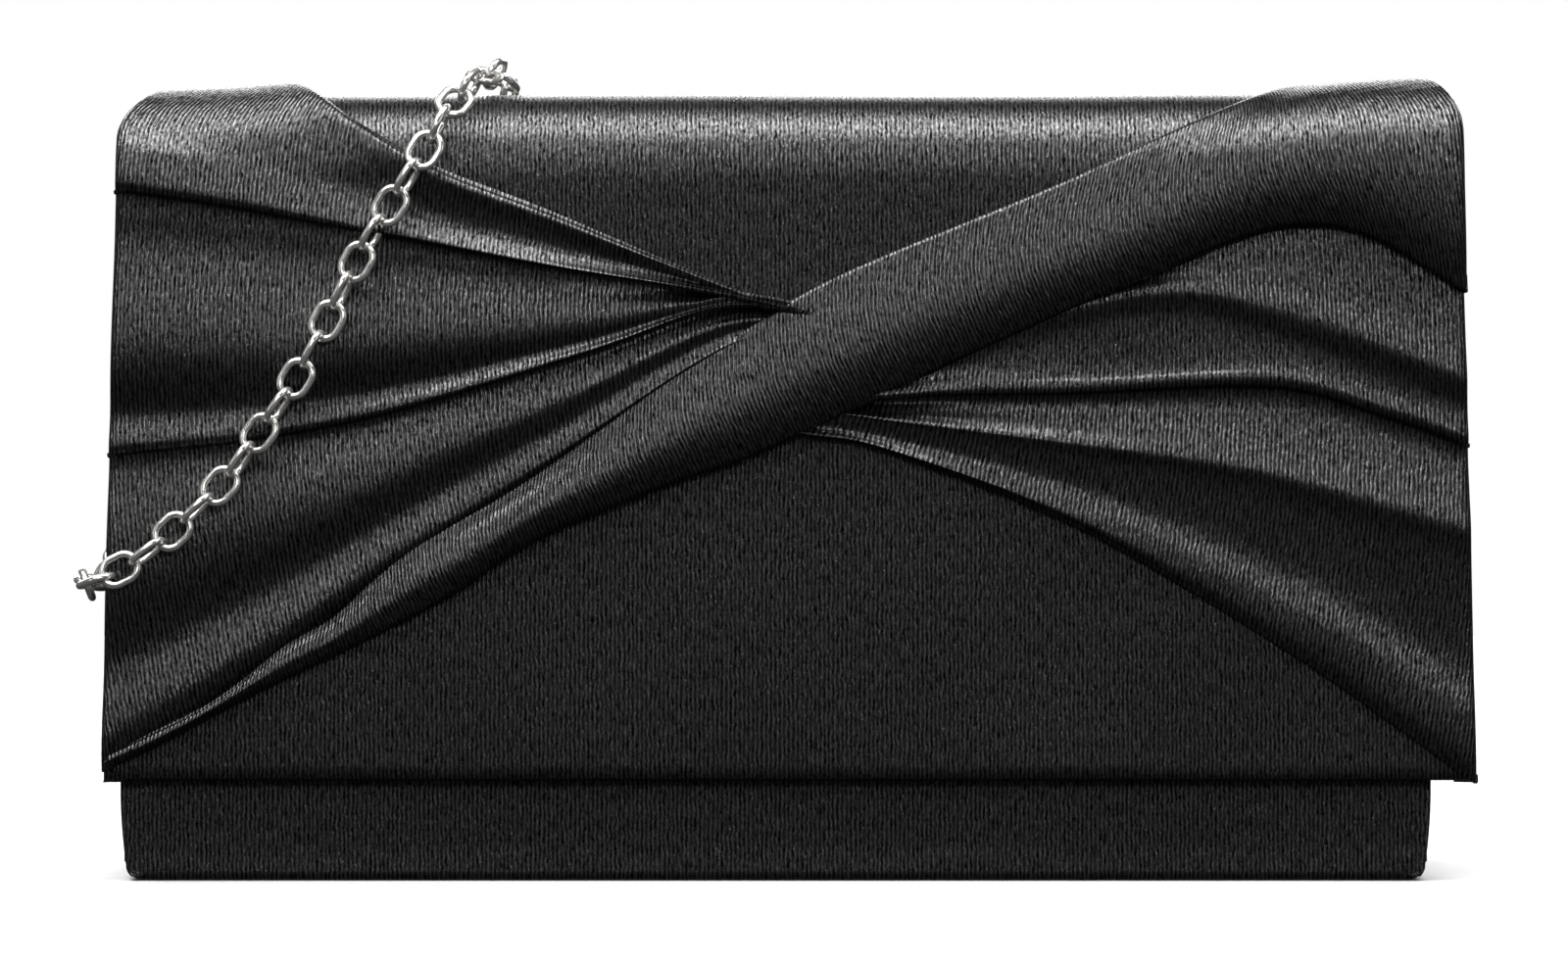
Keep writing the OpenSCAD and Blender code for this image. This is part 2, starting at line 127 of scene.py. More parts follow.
def flap_half(s):
    """Half width of the flap at distance s, with its soft upper corners."""
    (_, z), _ = profile(s)
    half = FLAP_HALF_LOW + (FLAP_HALF_TOP - FLAP_HALF_LOW) * min(1, s / FRONT_RUN)
    rise = z - (DOME_Z + DOME_R - CORNER_R)
    if rise > 0:
        half -= CORNER_R - math.sqrt(max(0, CORNER_R ** 2 - rise ** 2))
    return half


def foot_taper(z):
    """How much each side of the body draws in at height z, towards its rounded foot."""
    return 1.6 * MM * max(0.0, 1 - z / (18 * MM)) ** 2


def on_flap(x, s, lift):
    """Point above the flap's outer face."""
    (y, z), (ny, nz) = profile(s)
    return Vector((x, y + ny * lift, z + nz * lift))


def soften(point, amount, wave, seed):
    """Small uneven swell of hand-stretched cloth."""
    return amount * noise.noise(Vector(point) / wave + Vector((seed, seed * 1.7, 0.3)))


# ---------------------------------------------------------------- mesh helpers
def along_curve(points, k, t):
    """Smooth value a share t of the way from point k to the next, bent by their neighbours."""
    p1, p2 = points[k], points[k + 1]
    p0 = points[k - 1] if k else p1 * 2 - p2
    p3 = points[k + 2] if k + 2 < len(points) else p2 * 2 - p1
    return 0.5 * (2 * p1 + (p2 - p0) * t + (2 * p0 - 5 * p1 + 4 * p2 - p3) * t * t
                  + (3 * p1 - p0 - 3 * p2 + p3) * t ** 3)


def spread(points, u):
    """Smooth curve through points, u from 0 to 1 by length."""
    lengths = [0.0]
    for a, b in zip(points, points[1:]):
        lengths.append(lengths[-1] + (b - a).length)
    target = max(0.0, min(1.0, u)) * lengths[-1]
    k = 0
    while k < len(points) - 2 and lengths[k + 1] < target:
        k += 1
    span = lengths[k + 1] - lengths[k] or 1.0
    return along_curve(points, k, (target - lengths[k]) / span)


def deselect():
    if bpy.context.object and bpy.context.object.mode != "OBJECT":
        bpy.ops.object.mode_set(mode="OBJECT")
    bpy.ops.object.select_all(action="DESELECT")


def take(obj):
    """Makes obj the only selected and active object."""
    deselect()
    obj.select_set(True)
    bpy.context.view_layer.objects.active = obj
    return obj


def finish_modifiers(obj):
    take(obj)
    for modifier in list(obj.modifiers):
        bpy.ops.object.modifier_apply(modifier=modifier.name)
    return obj


def new_piece(name, verts, faces, uvs=None):
    mesh = bpy.data.meshes.new(name)
    mesh.from_pydata([tuple(v) for v in verts], [], faces)
    if uvs:
        layer = mesh.uv_layers.new(name="cloth")
        for loop in mesh.loops:
            layer.data[loop.index].uv = uvs[loop.vertex_index]
    mesh.polygons.foreach_set("use_smooth", [True] * len(mesh.polygons))
    obj = bpy.data.objects.new(name, mesh)
    bpy.context.collection.objects.link(obj)
    return obj


def cloth(name, rows, uv_rows, thick, flip=False):
    """A sheet from rows of points, with a thickness laid under its outer face."""
    cols = len(rows[0])
    verts = [p for row in rows for p in row]
    uvs = [uv for row in uv_rows for uv in row]
    faces = []
    for r in range(len(rows) - 1):
        for c in range(cols - 1):
            a = r * cols + c
            quad = (a, a + 1, a + cols + 1, a + cols)
            faces.append(quad[::-1] if flip else quad)
    obj = new_piece(name, verts, faces, uvs)
    solid = obj.modifiers.new("thickness", "SOLIDIFY")
    solid.thickness = thick
    solid.offset = -1
    solid.use_rim = True
    return finish_modifiers(obj)


def cloth_over(name, stations, across, spot, thick, flip=False):
    """A sheet with a row for each station; spot gives a point and its place on the cloth."""
    pairs = [[spot(station, x) for x in across] for station in stations]
    rows = [[point for point, _ in row] for row in pairs]
    uv_rows = [[uv for _, uv in row] for row in pairs]
    return cloth(name, rows, uv_rows, thick, flip)


def tape_along(name, path, x0, x1, columns, thick):
    """A tape that follows a path of (y, z) points, from x0 to x1."""
    rows, uv_rows, travel = [], [], 0.0
    for k, (y, z) in enumerate(path):
        if k:
            travel += math.dist(path[k - 1], (y, z))
        rows.append([Vector((x, y, z)) for x in steps(x0, x1, columns)])
        uv_rows.append([(travel, x) for x in steps(x0, x1, columns)])
    return cloth(name, rows, uv_rows, thick)


def arc(y, z, radius, first, last, count):
    """Points on an arc in the plane of Y and Z, between two angles in degrees."""
    angles = [math.radians(a) for a in steps(first, last, count)]
    return [(y + radius * math.cos(a), z + radius * math.sin(a)) for a in angles]


def steps(low, high, count):
    return [low + (high - low) * i / count for i in range(count + 1)]


def eased(t):
    t = max(0.0, min(1.0, t))
    return t * t * (3 - 2 * t)


# ---------------------------------------------------------------- materials
def srgb(code):
    """Linear RGBA from an sRGB hex value."""
    channels = [int(code[i:i + 2], 16) / 255 for i in (1, 3, 5)]
    return [c / 12.92 if c <= 0.04045 else ((c + 0.055) / 1.055) ** 2.4 for c in channels] + [1]


def add(tree, kind, settings=None, inputs=None):
    """Adds a node, sets its properties, and sets or links its inputs."""
    item = tree.nodes.new(kind)
    for key, value in (settings or {}).items():
        setattr(item, key, value)
    for key, value in (inputs or {}).items():
        if isinstance(value, bpy.types.NodeSocket):
            tree.links.new(value, item.inputs[key])
        else:
            item.inputs[key].default_value = value
    return item


def new_material(name):
    material = bpy.data.materials.new(name)
    material.use_nodes = True
    tree = material.node_tree
    tree.nodes.clear()
    shader = add(tree, "ShaderNodeBsdfPrincipled")
    out = add(tree, "ShaderNodeOutputMaterial")
    tree.links.new(shader.outputs[0], out.inputs[0])
    return material, tree, shader


def set_finish(tree, shader, **values):
    """Sets or links the shader's inputs; an underscore stands for a space in a name."""
    for key, value in values.items():
        socket = shader.inputs[key.replace("_", " ")]
        if isinstance(value, bpy.types.NodeSocket):
            tree.links.new(value, socket)
        else:
            socket.default_value = value


def band_scale(pitch):
    """Scale of a wave texture whose bands are a pitch apart."""
    return 2 * math.pi / (20 * pitch)


RIB_PITCH = 0.85 * MM


def ribbed_satin(name, dark, light, shine):
    """Shimmer satin: warp-ribbed polyester with a lustre yarn, woven, black.

    The ribs break the highlight into fine streaks, and the lustre yarn sparkles where the
    light strikes it; away from the light the cloth goes nearly black.
    """
    material, tree, shader = new_material(name)
    uv = add(tree, "ShaderNodeUVMap", {"uv_map": "cloth"})
    ribs = add(tree, "ShaderNodeTexWave", {"wave_type": "BANDS", "bands_direction": "X"},
               {"Vector": uv.outputs[0], "Scale": band_scale(RIB_PITCH), "Distortion": 3.0,
                "Detail": 2.0, "Detail Scale": 1.1})
    # yarn slubs are a few millimetres long down the rib and under a rib wide
    slub_map = add(tree, "ShaderNodeMapping", None,
                   {"Vector": uv.outputs[0], "Scale": (1 / (0.45 * MM), 1 / (2.6 * MM), 1)})
    slubs = add(tree, "ShaderNodeTexNoise", None,
                {"Vector": slub_map.outputs[0], "Scale": 1.0, "Detail": 3.0, "Roughness": 0.65})
    glint_map = add(tree, "ShaderNodeMapping", None,
                    {"Vector": uv.outputs[0], "Scale": (1 / (0.5 * MM), 1 / (1.0 * MM), 1)})
    glints = add(tree, "ShaderNodeTexNoise", None,
                 {"Vector": glint_map.outputs[0], "Scale": 1.0, "Detail": 2.0, "Roughness": 0.7})
    mixed = add(tree, "ShaderNodeMath", {"operation": "MULTIPLY"},
                {0: ribs.outputs["Fac"], 1: slubs.outputs["Fac"]})
    colour = add(tree, "ShaderNodeValToRGB", None, {"Fac": mixed.outputs[0]})
    colour.color_ramp.elements[0].position = 0.12
    colour.color_ramp.elements[0].color = srgb(dark)
    colour.color_ramp.elements[1].position = 0.62
    colour.color_ramp.elements[1].color = srgb(light)
    rough = add(tree, "ShaderNodeMapRange", None,
                {"Value": glints.outputs["Fac"], "From Min": 0.35, "From Max": 0.68,
                 "To Min": 0.42, "To Max": 0.24})
    height = add(tree, "ShaderNodeMath", {"operation": "MULTIPLY_ADD"},
                 {0: slubs.outputs["Fac"], 1: 0.55, 2: ribs.outputs["Fac"]})
    height = add(tree, "ShaderNodeMath", {"operation": "MULTIPLY_ADD"},
                 {0: glints.outputs["Fac"], 1: 0.6, 2: height.outputs[0]})
    bump = add(tree, "ShaderNodeBump", None,
               {"Height": height.outputs[0], "Strength": 1.0, "Distance": 0.12 * MM})
    crown = add(tree, "ShaderNodeMath", {"operation": "MULTIPLY_ADD"},
                {0: ribs.outputs["Fac"], 1: 0.45, 2: 0.55})
    yarn = add(tree, "ShaderNodeMath", {"operation": "MULTIPLY"},
               {0: glints.outputs["Fac"], 1: slubs.outputs["Fac"]})
    lustre = add(tree, "ShaderNodeMath", {"operation": "MULTIPLY"},
                 {0: yarn.outputs[0], 1: crown.outputs[0]})
    gloss = add(tree, "ShaderNodeMapRange", None,
                {"Value": lustre.outputs[0], "From Min": 0.1, "From Max": 0.34,
                 "To Min": 0.0, "To Max": 2.4 * shine})
    set_finish(tree, shader, Base_Color=colour.outputs[0], Roughness=rough.outputs[0],
               Normal=bump.outputs[0], Specular_IOR_Level=gloss.outputs[0])
    return material


def woven_lining(name, dark, light):
    """Plain-woven satin lining: fine even thread, soft shine, charcoal."""
    material, tree, shader = new_material(name)
    uv = add(tree, "ShaderNodeUVMap", {"uv_map": "cloth"})
    thread = 0.6 * MM  # the real thread is finer; drawn coarse enough to show
    heights = []
    for direction in ("X", "Y"):
        wave = add(tree, "ShaderNodeTexWave", {"wave_type": "BANDS", "bands_direction": direction},
                   {"Vector": uv.outputs[0], "Scale": band_scale(thread),
                    "Distortion": 0.6, "Detail": 1.0})
        heights.append(wave.outputs["Fac"])
    height = add(tree, "ShaderNodeMath", {"operation": "MULTIPLY"}, {0: heights[0], 1: heights[1]})
    colour = add(tree, "ShaderNodeValToRGB", None, {"Fac": height.outputs[0]})
    colour.color_ramp.elements[0].color = srgb(dark)
    colour.color_ramp.elements[1].color = srgb(light)
    bump = add(tree, "ShaderNodeBump", None,
               {"Height": height.outputs[0], "Strength": 0.4, "Distance": 0.08 * MM})
    set_finish(tree, shader, Base_Color=colour.outputs[0], Normal=bump.outputs[0],
               Roughness=0.5, Sheen_Weight=0.1)
    return material


def object_material(name, hexes, roughness, metallic, grain, depth):
    """A material on Object coordinates, for pieces with no UV: colour and bump from one grain."""
    material, tree, shader = new_material(name)
    place = add(tree, "ShaderNodeTexCoord")
    speck = add(tree, "ShaderNodeTexNoise", None,
                {"Vector": place.outputs["Object"], "Scale": 1 / grain, "Detail": 4.0})
    colour = add(tree, "ShaderNodeValToRGB", None, {"Fac": speck.outputs["Fac"]})
    colour.color_ramp.elements[0].position = 0.3
    colour.color_ramp.elements[0].color = srgb(hexes[0])
    colour.color_ramp.elements[1].position = 0.7
    colour.color_ramp.elements[1].color = srgb(hexes[1])
    rough = add(tree, "ShaderNodeMapRange", None,
                {"Value": speck.outputs["Fac"], "To Min": roughness[0], "To Max": roughness[1]})
    set_finish(tree, shader, Base_Color=colour.outputs[0], Roughness=rough.outputs[0],
               Metallic=metallic)
    if depth:
        bump = add(tree, "ShaderNodeBump", None,
                   {"Height": speck.outputs["Fac"], "Strength": 0.5, "Distance": depth})
        set_finish(tree, shader, Normal=bump.outputs[0])
    return material


def polished_silver():
    """Silver-plated zinc, cast and barrel-polished: mirror bright with a faint warm cast."""
    return object_material("polished_silver_plate", ("#d2d0cc", "#f2f1ee"), (0.16, 0.26), 0.8,
                           2.5 * MM, 0)


def plated_steel():
    """Pressed steel with a nickel plate, lightly scuffed by use."""
    return object_material("nickel_plated_steel", ("#b5b3ae", "#d6d4cf"), (0.24, 0.38), 0.8,
                           1.2 * MM, 0.01 * MM)


def magnet_metal():
    """Sintered magnet under a nickel flash: dark and slightly grainy."""
    return object_material("nickel_flashed_magnet", ("#4c4c4e", "#707072"), (0.3, 0.45), 1.0,
                           0.8 * MM, 0.01 * MM)


def dyed_board():
    """Pressed card board, dyed black through: fibrous and matt."""
    return object_material("pressed_card_board", ("#161617", "#262627"), (0.8, 0.95), 0.0,
                           1.5 * MM, 0.05 * MM)


def felt_wadding():
    """Needled polyester wadding: matt, fuzzy, light grey."""
    return object_material("needled_wadding", ("#4c4c4d", "#77777a"), (0.9, 1.0), 0.0,
                           0.9 * MM, 0.1 * MM)


def grosgrain():
    """Grosgrain tape: cross-ribbed, matt black."""
    material, tree, shader = new_material("black_grosgrain")
    uv = add(tree, "ShaderNodeUVMap", {"uv_map": "cloth"})
    rib = 0.7 * MM
    ribs = add(tree, "ShaderNodeTexWave", {"wave_type": "BANDS", "bands_direction": "X"},
               {"Vector": uv.outputs[0], "Scale": band_scale(rib), "Distortion": 0.4})
    colour = add(tree, "ShaderNodeValToRGB", None, {"Fac": ribs.outputs["Fac"]})
    colour.color_ramp.elements[0].color = srgb("#08080a")
    colour.color_ramp.elements[1].color = srgb("#232325")
    bump = add(tree, "ShaderNodeBump", None,
               {"Height": ribs.outputs["Fac"], "Strength": 0.6, "Distance": 0.12 * MM})
    set_finish(tree, shader, Base_Color=colour.outputs[0], Normal=bump.outputs[0],
               Roughness=0.72)
    return material


MATERIALS = {}


def finish(name):
    """Makes each material once, when a piece first asks for it."""
    look = bpy.context.scene.clutch_look
    makers = {
        "satin": lambda: ribbed_satin("ribbed_satin_smooth", look.dark, look.light, look.shine),
        "drape": lambda: ribbed_satin("ribbed_satin_draped", look.dark, look.light, look.shine),
        "lining": lambda: woven_lining("woven_lining", "#141416", "#2f2f33"),
        "grosgrain": grosgrain,
        "silver": polished_silver,
        "steel": plated_steel,
        "magnet": magnet_metal,
        "board": dyed_board,
        "wadding": felt_wadding,
    }
    if name not in MATERIALS:
        MATERIALS[name] = makers[name]()
    return MATERIALS[name]


def dress(obj, material):
    obj.data.materials.clear()
    obj.data.materials.append(finish(material))


def settle(obj, material, slot, *nodes, body=None):
    """Gives a piece its finish, the nodes it replaces and the body it rides on; slot is not used.
    """
    dress(obj, material)
    if body:
        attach(obj, body)
    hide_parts(*nodes)


# ---------------------------------------------------------------- chain
LINK_PITCH = 6.3 * MM
LINK_TILT = math.radians(22)
LEFT_ROUTE = [(-118.4, 7.5, 119.5), (-119.8, 6.6, 108), (-121.4, 5.4, 95), (-122.8, 4, 82),
              (-124.4, 2, 71), (-127.6, -2, 62.5), (-131.4, -7, 58), (-133.8, -12, 56.6),
              (-134.2, -16, 56.4)]
FRONT_ROUTE = [(-134.2, -16.2, 56.4), (-134.2, -20.6, 56.6), (-132.6, -25.2, 57.4),
               (-128.6, -27, 59), (-124.2, -26.6, 61.4), (-119, -26, 65.4), (-113, -25.6, 71),
               (-107, -25, 76.8), (-102.4, -24.4, 83.4), (-98, -23.8, 89.6), (-93.2, -23.2, 97),
               (-87.2, -22.2, 108.4), (-81.4, -21.2, 120), (-73.8, -20.2, 132.4),
               (-69, -18.6, 140.2), (-65.2, -14.4, 147.2), (-60.6, -7.4, 152.4),
               (-57, 1.6, 154.4), (-55.4, 8.2, 153.4), (-54.4, 13.6, 150.8)]
OVER_HINGE = [(-53.8, 18.4, 146.8), (-53.4, 20.8, 142), (-53.2, 21.8, 137)]
BACK_TOP = [(-53, 22, 131), (-53, 22.2, 124)]
BACK_ROUTE = [(-53, 22.6, 118), (-52.6, 23.6, 100), (-52.2, 24.8, 80), (-51.8, 26, 60),
              (-51.4, 27.2, 42), (-51, 28.4, 26), (-49.4, 29.6, 14), (-44, 31.4, 6),
              (-34, 33.4, 4)]
RIGHT_ROUTE = [(50, 34.4, 10.4), (64, 33.4, 9), (78, 32.4, 4.6), (92, 31.8, 3.8), (104, 31.4, 7),
               (113, 31, 16), (120, 30.4, 28), (125.6, 28.6, 40), (127.2, 23.4, 50),
               (125.6, 16.4, 58.6), (121.6, 11, 68), (118, 8.6, 80), (116, 7.8, 94),
               (114.4, 7.5, 107), (113.4, 7.5, 119.5)]
HANK_FOLD_R = 20.7
HANK_STRAIGHT = 48.3
HANK_Y = 55.2
HANK_LAYERS = (3.9, 10.4)


def hank_turns():
    """One and a half turns of stored chain: the last run lies on the first."""
    points = []
    near, far = HANK_Y - HANK_FOLD_R, HANK_Y + HANK_FOLD_R
    low, high = HANK_LAYERS
    points += [(x, near, low) for x in steps(-20, HANK_STRAIGHT, 4)]
    points += hank_fold(1, -80, 80, low, low)
    points += [(x, far, low) for x in steps(HANK_STRAIGHT, -HANK_STRAIGHT, 5)]
    points += hank_fold(-1, 100, 260, low, high)
    points += [(x, near, high) for x in steps(-HANK_STRAIGHT, 36, 5)]
    return points


def hank_fold(side, first, last, z_from, z_to):
    """Half-round fold at one end of the stored chain."""
    fold = []
    for i, a in enumerate(steps(first, last, 8)):
        angle = math.radians(a)
        fold.append((side * HANK_STRAIGHT + HANK_FOLD_R * math.cos(angle),
                     HANK_Y + HANK_FOLD_R * math.sin(angle), z_from + (z_to - z_from) * i / 8))
    return fold


def metres(points):
    return [Vector(p) * MM for p in points]


def even_path(points, spacing):
    """Points every spacing along the smooth curve through points, and the curve's length."""
    fine = [along_curve(points, k, i / 12) for k in range(len(points) - 1) for i in range(12)]
    fine.append(points[-1])
    total = sum((b - a).length for a, b in zip(fine, fine[1:]))
    count = max(2, round(total / spacing))
    gap = total / count
    out, walked, target = [fine[0]], 0.0, gap
    for a, b in zip(fine, fine[1:]):
        length = (b - a).length
        while walked + length >= target - 1e-9 and len(out) < count:
            out.append(a.lerp(b, (target - walked) / length))
            target += gap
        walked += length
    out.append(fine[-1])
    return out, total


def model_link():
    """One oval link: a torus pulled out along its length."""
    size = bpy.context.scene.clutch_sizes
    wire = size.link_wire / 2
    deselect()
    bpy.ops.mesh.primitive_torus_add(
        major_segments=size.link_segments, minor_segments=8,
        major_radius=size.link_width / 2 - wire, minor_radius=wire)
    link = bpy.context.object
    pull = (size.link_length - size.link_width) / 2
    for side in (-1, 1):
        bpy.ops.object.mode_set(mode="EDIT")
        bpy.ops.mesh.select_all(action="DESELECT")
        bpy.ops.object.mode_set(mode="OBJECT")
        for vertex in link.data.vertices:
            vertex.select = vertex.co.x * side > 1e-6
        bpy.ops.object.mode_set(mode="EDIT")
        bpy.ops.transform.translate(value=(side * pull, 0, 0))
        bpy.ops.object.mode_set(mode="OBJECT")
    return link


def model_chain(name, route, normal):
    """Copies of one link along a route, each turned a quarter from the last."""
    link = model_link()
    centres, length = even_path(route, LINK_PITCH)
    verts, faces = [], []
    base = [v.co.copy() for v in link.data.vertices]
    rings = [tuple(p.vertices) for p in link.data.polygons]
    up = Vector(normal)
    for i in range(len(centres) - 1):
        along = (centres[i + 1] - centres[i]).normalized()
        up = (up - along * up.dot(along)).normalized()
        across = up.cross(along)
        tilt = LINK_TILT + (math.pi / 2 if i % 2 else 0)
        tilt += 0.16 * noise.noise(Vector((i * 0.7, len(name), 0.5)))
        side = across * math.cos(tilt) + up * math.sin(tilt)
        face = along.cross(side)
        turn = Matrix((along, side, face)).transposed()
        middle = (centres[i] + centres[i + 1]) / 2
        start = len(verts)
        verts += [middle + turn @ co for co in base]
        faces += [tuple(start + k for k in ring) for ring in rings]
    bpy.data.objects.remove(link, do_unlink=True)
    chain = new_piece(name, verts, faces)
    dress(chain, "silver")
    return chain, centres, length


def declare_chain(chain, centres, length, lay, **more):
    tuple(centres[0])
    [tuple(p) for p in centres]


# ---------------------------------------------------------------- the flap's and back's satin
# columns of the roll round a side edge: distance out in millimetres, and share of its depth
SIDE_ROLL = ((0.5, -0.25), (0.75, -0.5), (0.75, -0.85), (0.35, -1.0), (-3.0, -1.0))
LOWEST = -3.4 * MM  # no part of a side edge's roll goes deeper than the lining


def side_wrap(row, row_uv, left, right, depth, s, lift):
    """Adds the columns that roll a row of cloth round both side edges, down to a depth."""
    (u0, v0), (u1, v1) = row_uv[0], row_uv[-1]
    start, start_uv = [], []
    end, end_uv = [], []
    travel = 0.0
    for out, down in SIDE_ROLL:
        travel += 1.3 * MM
        low = max(down * depth + lift, LOWEST)
        start.insert(0, on_flap(left - out * MM, s, low))
        start_uv.insert(0, (u0 - travel, v0))
        end.append(on_flap(right + out * MM, s, low))
        end_uv.append((u1 + travel, v1))
    return start + row + end, start_uv + row_uv + end_uv


def model_wrap():
    """The smooth satin: front of the flap, over the dome, across the fold and down the back."""
    rows, uv_rows = [], []
    back_run = (HINGE.z - 1.9 * MM) / math.cos(BACK_LEAN)
    tip = [(7, -3.25), (1.2, -3.35), (0.2, -3.0), (-0.1, -2.0), (-0.1, -1.2), (0.25, -0.35)]
    stations = [(s * MM, lift * MM) for s, lift in tip]
    stations += [(s, 0.0) for s in steps(1.2 * MM, FRONT_RUN, 72)]
    stations += [(s, 0.0) for s in steps(FRONT_RUN + 1.2 * MM, HINGE_S, 34)]
    stations += [(s, 0.0) for s in steps(HINGE_S + 1.2 * MM, HINGE_S + back_run, 80)]
    stations += [(HINGE_S + back_run + 0.9 * MM, -0.5 * MM), (HINGE_S + back_run + 1 * MM, -2 * MM)]
    for s, lift in stations:
        blend = eased((s - HINGE_S + 6 * MM) / (12 * MM))
        half = flap_half(min(s, HINGE_S))
        height = profile(s)[0][1]
        body_half = BODY_HALF - foot_taper(height)
        left = -half * (1 - blend) + (BODY_MID - body_half) * blend
        right = half * (1 - blend) + (BODY_MID + body_half) * blend
        depth = LINING_DEPTH
        if s > HINGE_S:
            depth = (0.6 + 2.2 * eased((s - HINGE_S) / (14 * MM))) * MM
        row, row_uv = [], []
        for x in steps(left, right, 96):
            edge = min(x - left, right - x)
            swell = soften((x, s, 0), 0.28 * MM, 34 * MM, 3) * eased(edge / (14 * MM))
            drop = -0.35 * MM * (1 - eased(edge / (2.5 * MM)))
            rise = lift + (swell + drop if lift == 0 else 0)
            row.append(on_flap(x, s, rise))
            row_uv.append((x, s + lift))
        row, row_uv = side_wrap(row, row_uv, left, right, depth, s, lift)
        rows.append(row)
        uv_rows.append(row_uv)
    obj = cloth("flap_and_back_satin", rows, uv_rows, 0.45 * MM)
    settle(obj, "satin", "satin", "flap_cover", "back_cover")
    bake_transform(obj)


# ---------------------------------------------------------------- the drape
KNOT = (9, 87.5)  # where the pleats run in under the band, in millimetres
CUT_HALF = 128.0
ROWS_PER_KNOT = 7
# columns of a roll round the flap's side edge: distance out and depth, in millimetres
FAN_ROLL = ((0.7, 0.5), (1.1, 1.3), (1.15, 2.6), (0.9, 3.6))
BAND_ROLL = ((0.7, 0.6), (1.1, 1.5), (1.15, 3.0), (0.8, 5.0))

# ridges of the drape, from the knot outwards: distance from the middle, then s, millimetres
LEFT_TOP = [KNOT, (-12, 94.2), (-46, 108), (-68, 116.5), (-82, 125), (-94, 135), (-108, 148),
            (-128, 161)]
LEFT_SECOND = [KNOT, (-12, 92.6), (-46, 98), (-79, 104.4), (-106, 109.6), (-128, 113)]
LEFT_THIRD = [KNOT, (-12, 90.4), (-38, 81.6), (-75, 70.4), (-102, 65.2), (-128, 62.6)]
LEFT_LOW = [KNOT, (-12, 82), (-46, 59), (-73, 41), (-98, 22), (-128, 1.5)]

BAND_TOP = [(-128, 5.2), (-106, 16.4), (-98, 24), (-85, 31.8), (-73, 43.2), (-52, 55.8),
            (-24, 75.6), (1, 91.6), (16, 99), (47.6, 112), (68, 121), (90, 132), (106, 141.5),
            (128, 156)]
BAND_LOW = [(-128, 2.2), (-122, 4.6), (-98, 17.6), (-78, 27.6), (-61.6, 36.6), (-48, 45.8),
            (-24, 56), (-8, 61.6), (12, 70.8), (36, 82), (74, 98.6), (94, 105.8), (110, 104.4),
            (128, 94)]

RIGHT_TOP = [(2, 84), (16, 82), (36, 89), (74, 104), (94, 110.5), (112, 110), (128, 101)]
RIGHT_RIDGE = [(-1, 80), (22, 79), (46, 87.5), (74, 92.6), (100, 86.6), (128, 76)]
RIGHT_SECOND = [(-4, 76), (13, 73), (30, 73.6), (55, 74), (92, 75.4), (114, 69.5), (128, 64.6)]
RIGHT_SHEEN = [(-8, 73), (14, 69.6), (46, 66), (86, 61.4), (128, 51)]
RIGHT_LOW = [(-12, 70.5), (2, 66), (18, 63), (55, 48.6), (94, 25.2), (118, 8), (128, 0.4)]


def through(knots, t):
    """Smooth value through evenly placed knots, t from 0 to the last knot's number."""
    k = min(int(t), len(knots) - 2)
    return along_curve(knots, k, t - k)


def flat_line(points):
    return [Vector(p).to_3d() for p in points]


def roll_edge(row, row_uv, side, s, roll):
    """Adds the columns that roll the end of a row round the flap's side edge."""
    _, (ny, nz) = profile(max(0, min(s, HINGE_S)))
    edge, (u, v) = row[-1], row_uv[-1]
    for k, (out, down) in enumerate(roll, 1):
        row.append(edge + Vector((side * out, -ny * down, -nz * down)) * MM)
        row_uv.append((u + side * k * MM, v))


def pleated(name, knots, side, rib):
    """A draped sheet through ridge lines, from the knot out to one side edge.

    Each knot is (ridge line, shift down the flap, lift at the inner end, lift at the side),
    in millimetres. rib gives a point's distance across the ribs.
    """
    lines = []
    for line, *_ in knots:
        if line not in lines:
            lines.append(line)
    paths = [flat_line(line) for line in lines]
    at_side = [spread(path, 1) for path in paths]
    grid = []
    for u in steps(0.03, 1.0, 110):
        spots = [spread(path, u) for path in paths]
        column = []
        for line, shift, inner, outer in knots:
            k = lines.index(line)
            n = min(max(k + (1 if shift < 0 else -1), 0), len(lines) - 1)
            room = 0.25 + 0.75 * eased(u * 2.2)
            if n != k:
                room = abs(spots[n].y - spots[k].y) / abs(at_side[n].y - at_side[k].y)
            lift = inner + (outer - inner) * eased(u * 1.15)
            column.append(Vector((spots[k].x, spots[k].y + shift * max(0.08, min(1, room)),
                                  lift)))
        grid.append(column)
    count = (len(knots) - 1) * ROWS_PER_KNOT
    rows, uv_rows = [], []
    for j in range(count + 1):
        row, row_uv = [], []
        for column in grid:
            p = through(column, (len(knots) - 1) * j / count)
            s = p.y * MM
            half = flap_half(max(0, min(s, HINGE_S)))
            x = max(-1.0, min(1.0, p.x / CUT_HALF)) * half
            edge = eased((half - abs(x)) / (9 * MM))
            lift = p.z + soften((x, s, 0), 0.22, 16 * MM, 7) * (0.3 + 0.7 * edge)
            row.append(on_flap(x, s, max(0.1, lift) * MM))
            row_uv.append(rib(p.x * MM, s))
        roll_edge(row, row_uv, side, row_uv[-1][1], FAN_ROLL)
        rows.append(row)
        uv_rows.append(row_uv)
    # rows run down the flap, so a line that runs to the right gives faces that look inwards
    obj = cloth(name, rows, uv_rows, 0.4 * MM, flip=side > 0)
    settle(obj, "drape", "drape_satin", name.removesuffix("_cloth"), body="flap")
    return obj


def from_knot(x, s):
    """Distance from the knot, in metres."""
    return math.hypot(x - KNOT[0] * MM, s - KNOT[1] * MM)


